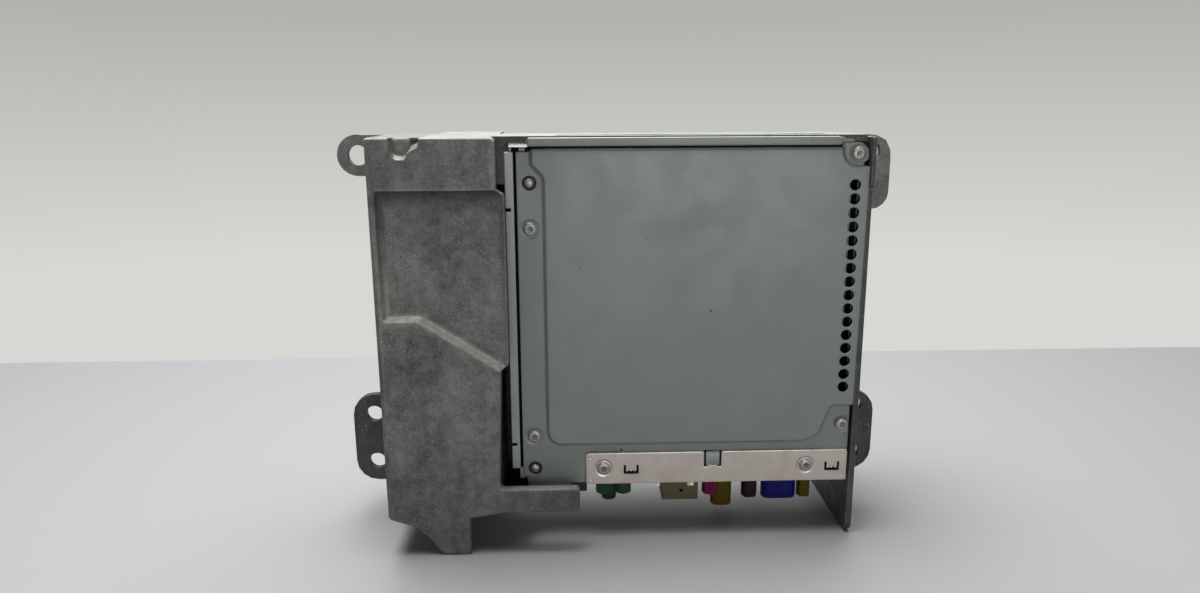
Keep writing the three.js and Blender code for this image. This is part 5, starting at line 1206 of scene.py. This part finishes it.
# The rubber ring's own section is an oval, closed on itself
hoop = [(2.75 + 0.35 * math.cos(a), 16.42 - 0.52 * math.sin(a)) for a in full_turn(12)]
hoop.append(hoop[0])
for number, (x, z) in enumerate(DAMPERS, 1):
    shown_for(f"damper_pin_{number}", f"damper_pin_dome_{number}", turned_y(PIN, x, z, 28), "screw_zinc",
              outwards=True)
    shown_for(f"damper_ring_{number}", f"damper_ring_hoop_{number}", turned_y(hoop, x, z, 28, closed=False),
              "black_rubber", outwards=True)
print("fasteners made")

# %% [markdown]
# ## Antenna sockets
#
# The coded sleeves hang down from the board: round, with guide ribs that differ by colour, a mouth and a thin
# contact. Seen from below each is an outline with holes, so the relief is laid on its side: its height runs
# along Z. The ribs are small swellings of the outline's radius at given angles.

# %% Antenna sockets
# The near row of sleeves reaches higher than the others, and all base blocks end at one depth
NEAR_ROW_ENDS, NEAR_ROW_TOP, SOCKET_TOP, SOCKET_BACK = 33, 47.0, 39.7, 44.6


def ribbed(x, y, radius, ribs, sides=48, rise=0.55):
    """A circle whose radius swells by the rise within about 9 degrees of each rib's angle."""
    angles = full_turn(sides)
    from_rib = [(angles - math.radians(rib) + math.pi) % (2 * math.pi) - math.pi for rib in ribs]
    swell = sum((np.exp(-(turn / 0.16) ** 4) for turn in from_rib), np.zeros(sides))
    reach = radius + rise * np.clip(swell, 0, 1)
    return np.column_stack([x + reach * np.cos(angles), y + reach * np.sin(angles)])


def hanging(outline, low, high, mouths=(), soft=0.5):
    """A relief laid on its side: the outline lies in X and Y, and the rounded mouth end is the low one."""
    lines = [drawn_in(outline, d) for d in (soft * 0.3, soft)] + [drawn_in(mouth, -0.3) for mouth in mouths]

    def low_end(flat):
        drop = edge_round(distance_to(flat, outline), soft)
        for mouth in mouths:
            drop = drop + edge_round(distance_to(flat, mouth), 0.3)
        return low + drop

    points, faces = relief(outline, low_end, high, mouths, lines, 3.0)
    return points[:, [0, 2, 1]], faces


def show_socket(node, kind, parts, plastic):
    """Stands for a socket node in one of the plastics, whose slot has the same name as the finish."""
    shown_for(node, f"{node}_{kind}", joined(*parts), plastic, smooth_below=40, outwards=True)


def sleeve_socket(node, x, row, bottom, colour, radius=4.05, half_width=None, mouths=(0,),
                  ribs=(90, 210, 330)):
    """A sleeve with one or two mouths, a floor and contact in each, a collar above and its base block."""
    top = NEAR_ROW_TOP if row < NEAR_ROW_ENDS else SOCKET_TOP
    if half_width is None:
        outline, collar = ribbed(x, row, radius, ribs), ribbed(x, row, radius + 0.5, (), 40)
    else:
        depth = radius + 0.45
        outline = rectangle(x - half_width, row - depth, x + half_width, row + depth, 3.9, 3.9, 7)
        collar = drawn_in(outline, -0.05)
    bores = [ring(x + offset, row, 3.1 if radius > 3.6 else 2.7, 28) for offset in mouths]
    parts = [hanging(outline, bottom, top, bores), hanging(collar, bottom + 9.5, top, bores)]
    for offset in mouths:
        parts.append(hanging(ring(x + offset, row, 3.3, 20), bottom + 9.8, bottom + 11.5, (), 0.2))
        parts.append(hanging(ring(x + offset, row, 0.65, 12), bottom + 6.2, bottom + 10.2, (), 0.3))
    base = rectangle(x - 4.2, row, x + 4.2, SOCKET_BACK, 0.5, 0.5, 2)
    parts.append(hanging(base, top - 4.2, top, (), 0.4))
    show_socket(node, "sleeve", parts, colour + "_plastic")


sleeve_socket("green_socket_1", -7.4, 31, 17, "green", ribs=(60, 120, 270))
sleeve_socket("green_socket_2", 2.6, 31, 17, "green", ribs=(60, 120, 270))
sleeve_socket("black_socket", -4.4, 40.3, 9.4, "black", radius=3.85, ribs=(250, 290))
sleeve_socket("magenta_socket", 47.3, 31, 15.7, "magenta", ribs=(230, 270, 310))
sleeve_socket("yellow_socket", 54.9, 40.3, 5.2, "yellow", half_width=5.4)
sleeve_socket("brown_socket", 68.8, 35.6, 11.4, "brown", ribs=(235, 305))
sleeve_socket("blue_socket", 84.1, 35.6, 10.9, "blue", half_width=8.9, mouths=(-4.4, 4.4))
sleeve_socket("olive_socket", 97.3, 35.6, 11.0, "yellow", radius=3.45, ribs=(235, 305))
print("sleeves made")

# %% Block sockets
def block_socket(node, x, bottom, half, colour, pegs, ledge):
    """A moulded box with a hollow, rows of contact pegs in it and a latch ledge on its near side."""
    near, far, top = 31.0, 44.9, SOCKET_TOP
    shell = rectangle(x - half, near, x + half, far, 1.0, 0.6, 3)
    mouth = rectangle(x - half + 1, near + 1, x + half - 1, far - 1, 0.6, 0.4, 3)
    parts = [hanging(shell, bottom, top, [mouth]), hanging(drawn_in(shell, 0.4), bottom + 10, top, ())]
    for y in (35.6, 40.3):
        for peg_x in x + np.linspace(-half + 3, half - 3, pegs):
            peg = rectangle(peg_x - 0.4, y - 0.4, peg_x + 0.4, y + 0.4)
            parts.append(hanging(peg, bottom + 4, bottom + 10.4, (), 0.2))
    if ledge:
        latch = rectangle(x - ledge, near - 0.9, x + ledge, near + 0.3, 0.3, steps=2)
        parts.append(hanging(latch, bottom + 2, bottom + 6, (), 0.3))
    show_socket(node, "shell", parts, colour + "_plastic")


block_socket("beige_socket", 32.1, 11.4, 9.4, "beige", 6, 0)
# A black spot paints the shade in a small hole in the socket.
spot("beige_socket_hole_shade", 32.6, 30.97, 16.6, 0.95, "unlit_gap")
block_socket("power_socket", -29.0, 17.0, 13.0, "black", 8, 3.5)
print("blocks made")

# %% [markdown]
# ## Side plate, rail and top bar
#
# The right side plate, the rail beside the lid and the bar over it have the right shape in the CAD model,
# apart from a millimetre here and there. They could be drawn anew, but a softened copy whose points are moved
# by such a small amount keeps their holes and folds. Thin black plates behind them paint the shade in gaps
# that look black.

# %% Right side plate
# The plate takes the darker copy of the cast finish, which paints shade, and paler bevels.
plate = softened("right_side_casting", 0.6, "cast_shade", "cast_worn_and_lit_rim")
plate_points = mesh_points(plate)
x, z = plate_points[:, 0], plate_points[:, 2]
# The wall leans outwards with height, and its right side comes in towards the top
x += 1.2 * np.clip((z - 30) / 100, 0, 1) * (x > 113) * (x < 117.2)
x -= 1.5 * np.clip((z - 110) / 40, 0, 1) * (x > 115.2) * (x < 118) * (plate_points[:, 1] < 50)
# The ear's corner is a superellipse: |u|^n + |v|^n = r^n, with n over 2
EAR_RIGHT, EAR_TOP, EAR_ROUND, SQUARING = 137.7, 196.5, 13.0, 2.7
over = np.maximum(plate_points[:, [0, 2]] - (EAR_RIGHT - EAR_ROUND, EAR_TOP - EAR_ROUND), 0)
length = np.hypot(*over.T)
squared = length / (np.sum(over ** SQUARING, axis=1) ** (1 / SQUARING) + 1e-9)
plate_points[:, [0, 2]] += np.where((length > 9) & np.all(over > 0, axis=1), squared - 1, 0)[:, None] * over
# The ears' holes sit half a millimetre further right
HOLES_X, HOLES_Z = 126.8, (27.7, 54.3, 187.5)
for hole_z in HOLES_Z:
    x += 0.5 * (np.hypot(x - HOLES_X, z - hole_z) < 5.9)
move_points(plate, plate_points)
# Painted light on the upper ear; painted highlights on the lower edges that face down and on the top faces.
finish_where(plate, "cast_aluminium", x=(117.2, FAR), z=(150, FAR))
finish_where(plate, "cast_highlight", x=(112, FAR), y=(20, FAR), z=(-FAR, 60), across=(-FAR, 0.4), up=(-FAR, -0.2))
print(finish_where(plate, "cast_lit_top", z=(190, FAR), up=(0.6, FAR)), "upper plate faces")

# %% Side rail, with a black plate that paints the shade in the gap behind it, and its foot
# The rail's front part lies further left than the CAD model's, and is narrower
RAIL_LEFT, CAD_RAIL_LEFT, RAIL_NARROWED = -52.7, -51.9, 0.83
# The rail takes a paler paint that makes up for the wing's shade, and its bevels a pale one as a highlight.
rail = softened("side_rail", 0.5, "rail_lit_paint", "paint_edge_highlight")
rail_points = mesh_points(rail)
narrowed = RAIL_LEFT + (rail_points[:, 0] - CAD_RAIL_LEFT) * RAIL_NARROWED
rail_points[:, 0] = np.where(rail_points[:, 1] < 20, narrowed, rail_points[:, 0])
move_points(rail, rail_points)
# Black on the rail's right side and the thin plate behind it paint the shade in the gap by the lid.
finish_where(rail, "unlit_gap", y=(-FAR, 20), across=(0.3, FAR))
shown_for("side_rail", "rail_gap_shade", relief(rectangle(-48.5, 37.4, -47.2, 190.5), 17.6, 18.2), "unlit_gap")
foot_edge = ring(-47.8, 34.4, 9, 8)
foot = relief(rectangle(-49.0, 31.6, -46.6, 37.2, 0.4, steps=3),
              lambda flat: 16.9 + edge_round(distance_to(flat, foot_edge), 0.2), 18.0)
shown_for("side_rail", "rail_foot", foot, "rail_lit_paint")
print("rail made")

# %% Top bar, and the web in the frame's corner beside the clip
bar = softened("top_edge_bar", 0.6, "bar_paint")
# The bar's top faces take a pale paint that paints a highlight on them.
finish_where(bar, "fold_highlight_paint", z=(193, FAR), up=(0.4, FAR))
shade = relief(rectangle(-40.3, 190.9, 101.6, 194.2), 15.7, 16.0)
stub_outline = rounded([
    [100.6, 194.4, 0.4], [106.4, 194.6, 0.5], [106.4, 195.6, 0.4], [103.2, 195.8, 0.6], [101.9, 196.6, 0.4],
    [100.6, 196.6, 0.3],
], steps=4)
stub = relief(stub_outline, lambda flat: 13.2 + 0.8 * (196.6 - flat[:, 1]) / 2.2, 16.0)
# The black plate paints the shadow under the bar; the stub's pale cast finish paints a highlight on it.
shown_for("top_edge_bar", "bar_shadow_gap", shade, "unlit_gap")
shown_for("top_edge_bar", "bar_end_stub", stub, "cast_highlight")
# The web takes the darker copy of the cast finish, which paints shade on it.
corner = relief(rectangle(-56.2, 190.8, -50.4, 194.4), 17.2, 18.4)
shown_for("chassis_casting", "frame_corner_web", corner, "cast_shade")
print("bar made")

# %% [markdown]
# ## The clip at the lid's corner
#
# A painted clip holds the lid at its top left corner: a flat foot, a flange that leans back, and a riser at
# its right. It could be folded from a strip with a bend at each line. Its front is one relief instead, whose
# depth follows the two leans, because only its outline and the way it leans can be seen.

# %% Clip
CLIP_FRONT, CLIP_SHEET, CLIP_LEAN, FLANGE_LOW, FLANGE_TOP = 13.7, 0.6, 1.5, 192.9, 194.0
clip_outline = rounded([
    [-50.3, 190.9, 0.2], [-49.2, 190.9, 0.2], [-49.2, 192.9, 0.2], [-45.7, 192.9, 0.2], [-45.7, 191.1, 0.2],
    [-43.1, 191.1, 0.2], [-43.1, 192.5, 0.3], [-42.1, 192.9, 0.5], [-40.4, 194.7, 0.5], [-40.3, 196.3, 0.3],
    [-42.3, 196.4, 0.3], [-42.9, 194.9, 0.5], [-43.6, 194.0, 0.4], [-50.3, 194.0, 0.4],
], steps=3)


def clip_depth(flat):
    """The bracket's near face leans back over the flange's height and towards the top of its riser."""
    z = flat[:, 1]
    lean_back = CLIP_LEAN * np.clip((z - FLANGE_LOW) / (FLANGE_TOP - FLANGE_LOW), 0, 1)
    return CLIP_FRONT + lean_back + 0.5 * np.clip((z - FLANGE_TOP) / 2.2, 0, 1)


clip_levels = [rectangle(-60, level, -30, 220) for level in (192.9, 193.2, 193.6, 194.0, 195.2)]
bracket = relief(clip_outline, clip_depth, lambda flat: clip_depth(flat) + CLIP_SHEET, features=clip_levels)
opening_shade = relief(rectangle(-50.4, 190.6, -40.2, 194.6), 16.6, 17.0)
web_outline = rounded([[-50.4, 193.7, 0.3], [-42.6, 193.7], [-42.6, 196.6], [-50.4, 196.6, 0.3]])
web = relief(web_outline, lambda flat: 15.9 + 0.4 * (flat[:, 1] - 193.7), 18.6)
# The black plate paints the shade in the opening behind the clip; the web's paler finish paints it lighter.
shown_for("top_clip", "top_clip_bracket", bracket, "clip_paint", smooth_below=30)
shown_for("top_clip", "top_clip_opening_shade", opening_shade, "unlit_gap")
shown_for("top_clip", "top_clip_web", web, "cast_worn_and_lit_rim")
print("clip made")

# %% [markdown]
# ## Tray, heat sink, bay cover, fan and the inside
#
# The case behind the lid, the finned heat sink and the cover of the fan's bay are softened copies. What lies
# inside the case shows only through its vents, slot and windows, so those nodes stay as they are, in the
# right finish.

# %% Tray, heat sink, bay cover and fan frame
tray = softened("case_tray", 0.15, "satin_paint")
# Black faces by the vents paint the shade inside them.
finish_where(tray, "unlit_gap", x=(104, 111), z=(60, FAR))
softened("heat_sink", 0.35, "sink_metal")
# The bay cover's bevels take a pale paint that paints a highlight on them.
softened("bay_cover", 0.25, "satin_paint", "paint_edge_highlight")
softened("fan_frame", 0.3, "black_plastic")
print("sheet and cast pieces made")

# %% Finishes of the CAD nodes that stay
LOOKS = {
    "bright_steel": [
        "drive_deck", "spindle_motor", "clamp_arm", "hinge_pin", "guide_rod_1", "guide_rod_2", "lead_screw",
        "sled_motor", "loading_motor", "side_screw_1", "side_screw_2", "cover_screw_1", "cover_screw_2",
        "cover_screw_3", "cover_screw_4",
    ],
    "black_plastic": ["fan_rotor", "capacitor_1", "capacitor_2", "turntable", "pickup_sled"],
    "board_green": ["main_board", "power_board"],
    "tinned_can": ["processor_shield", "tuner_can"],
    "dark_package": ["amplifier_chip"],
    "pale_plastic": ["clamp_puck", "motor_pinion", "link_ribbon"],
    "black_rubber": ["feed_roller"],
}
for look, names in LOOKS.items():
    for name in names:
        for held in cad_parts[name].material_slots:
            held.material = FINISHES[look]
print(sum(map(len, LOOKS.values())), "nodes keep their CAD shape")
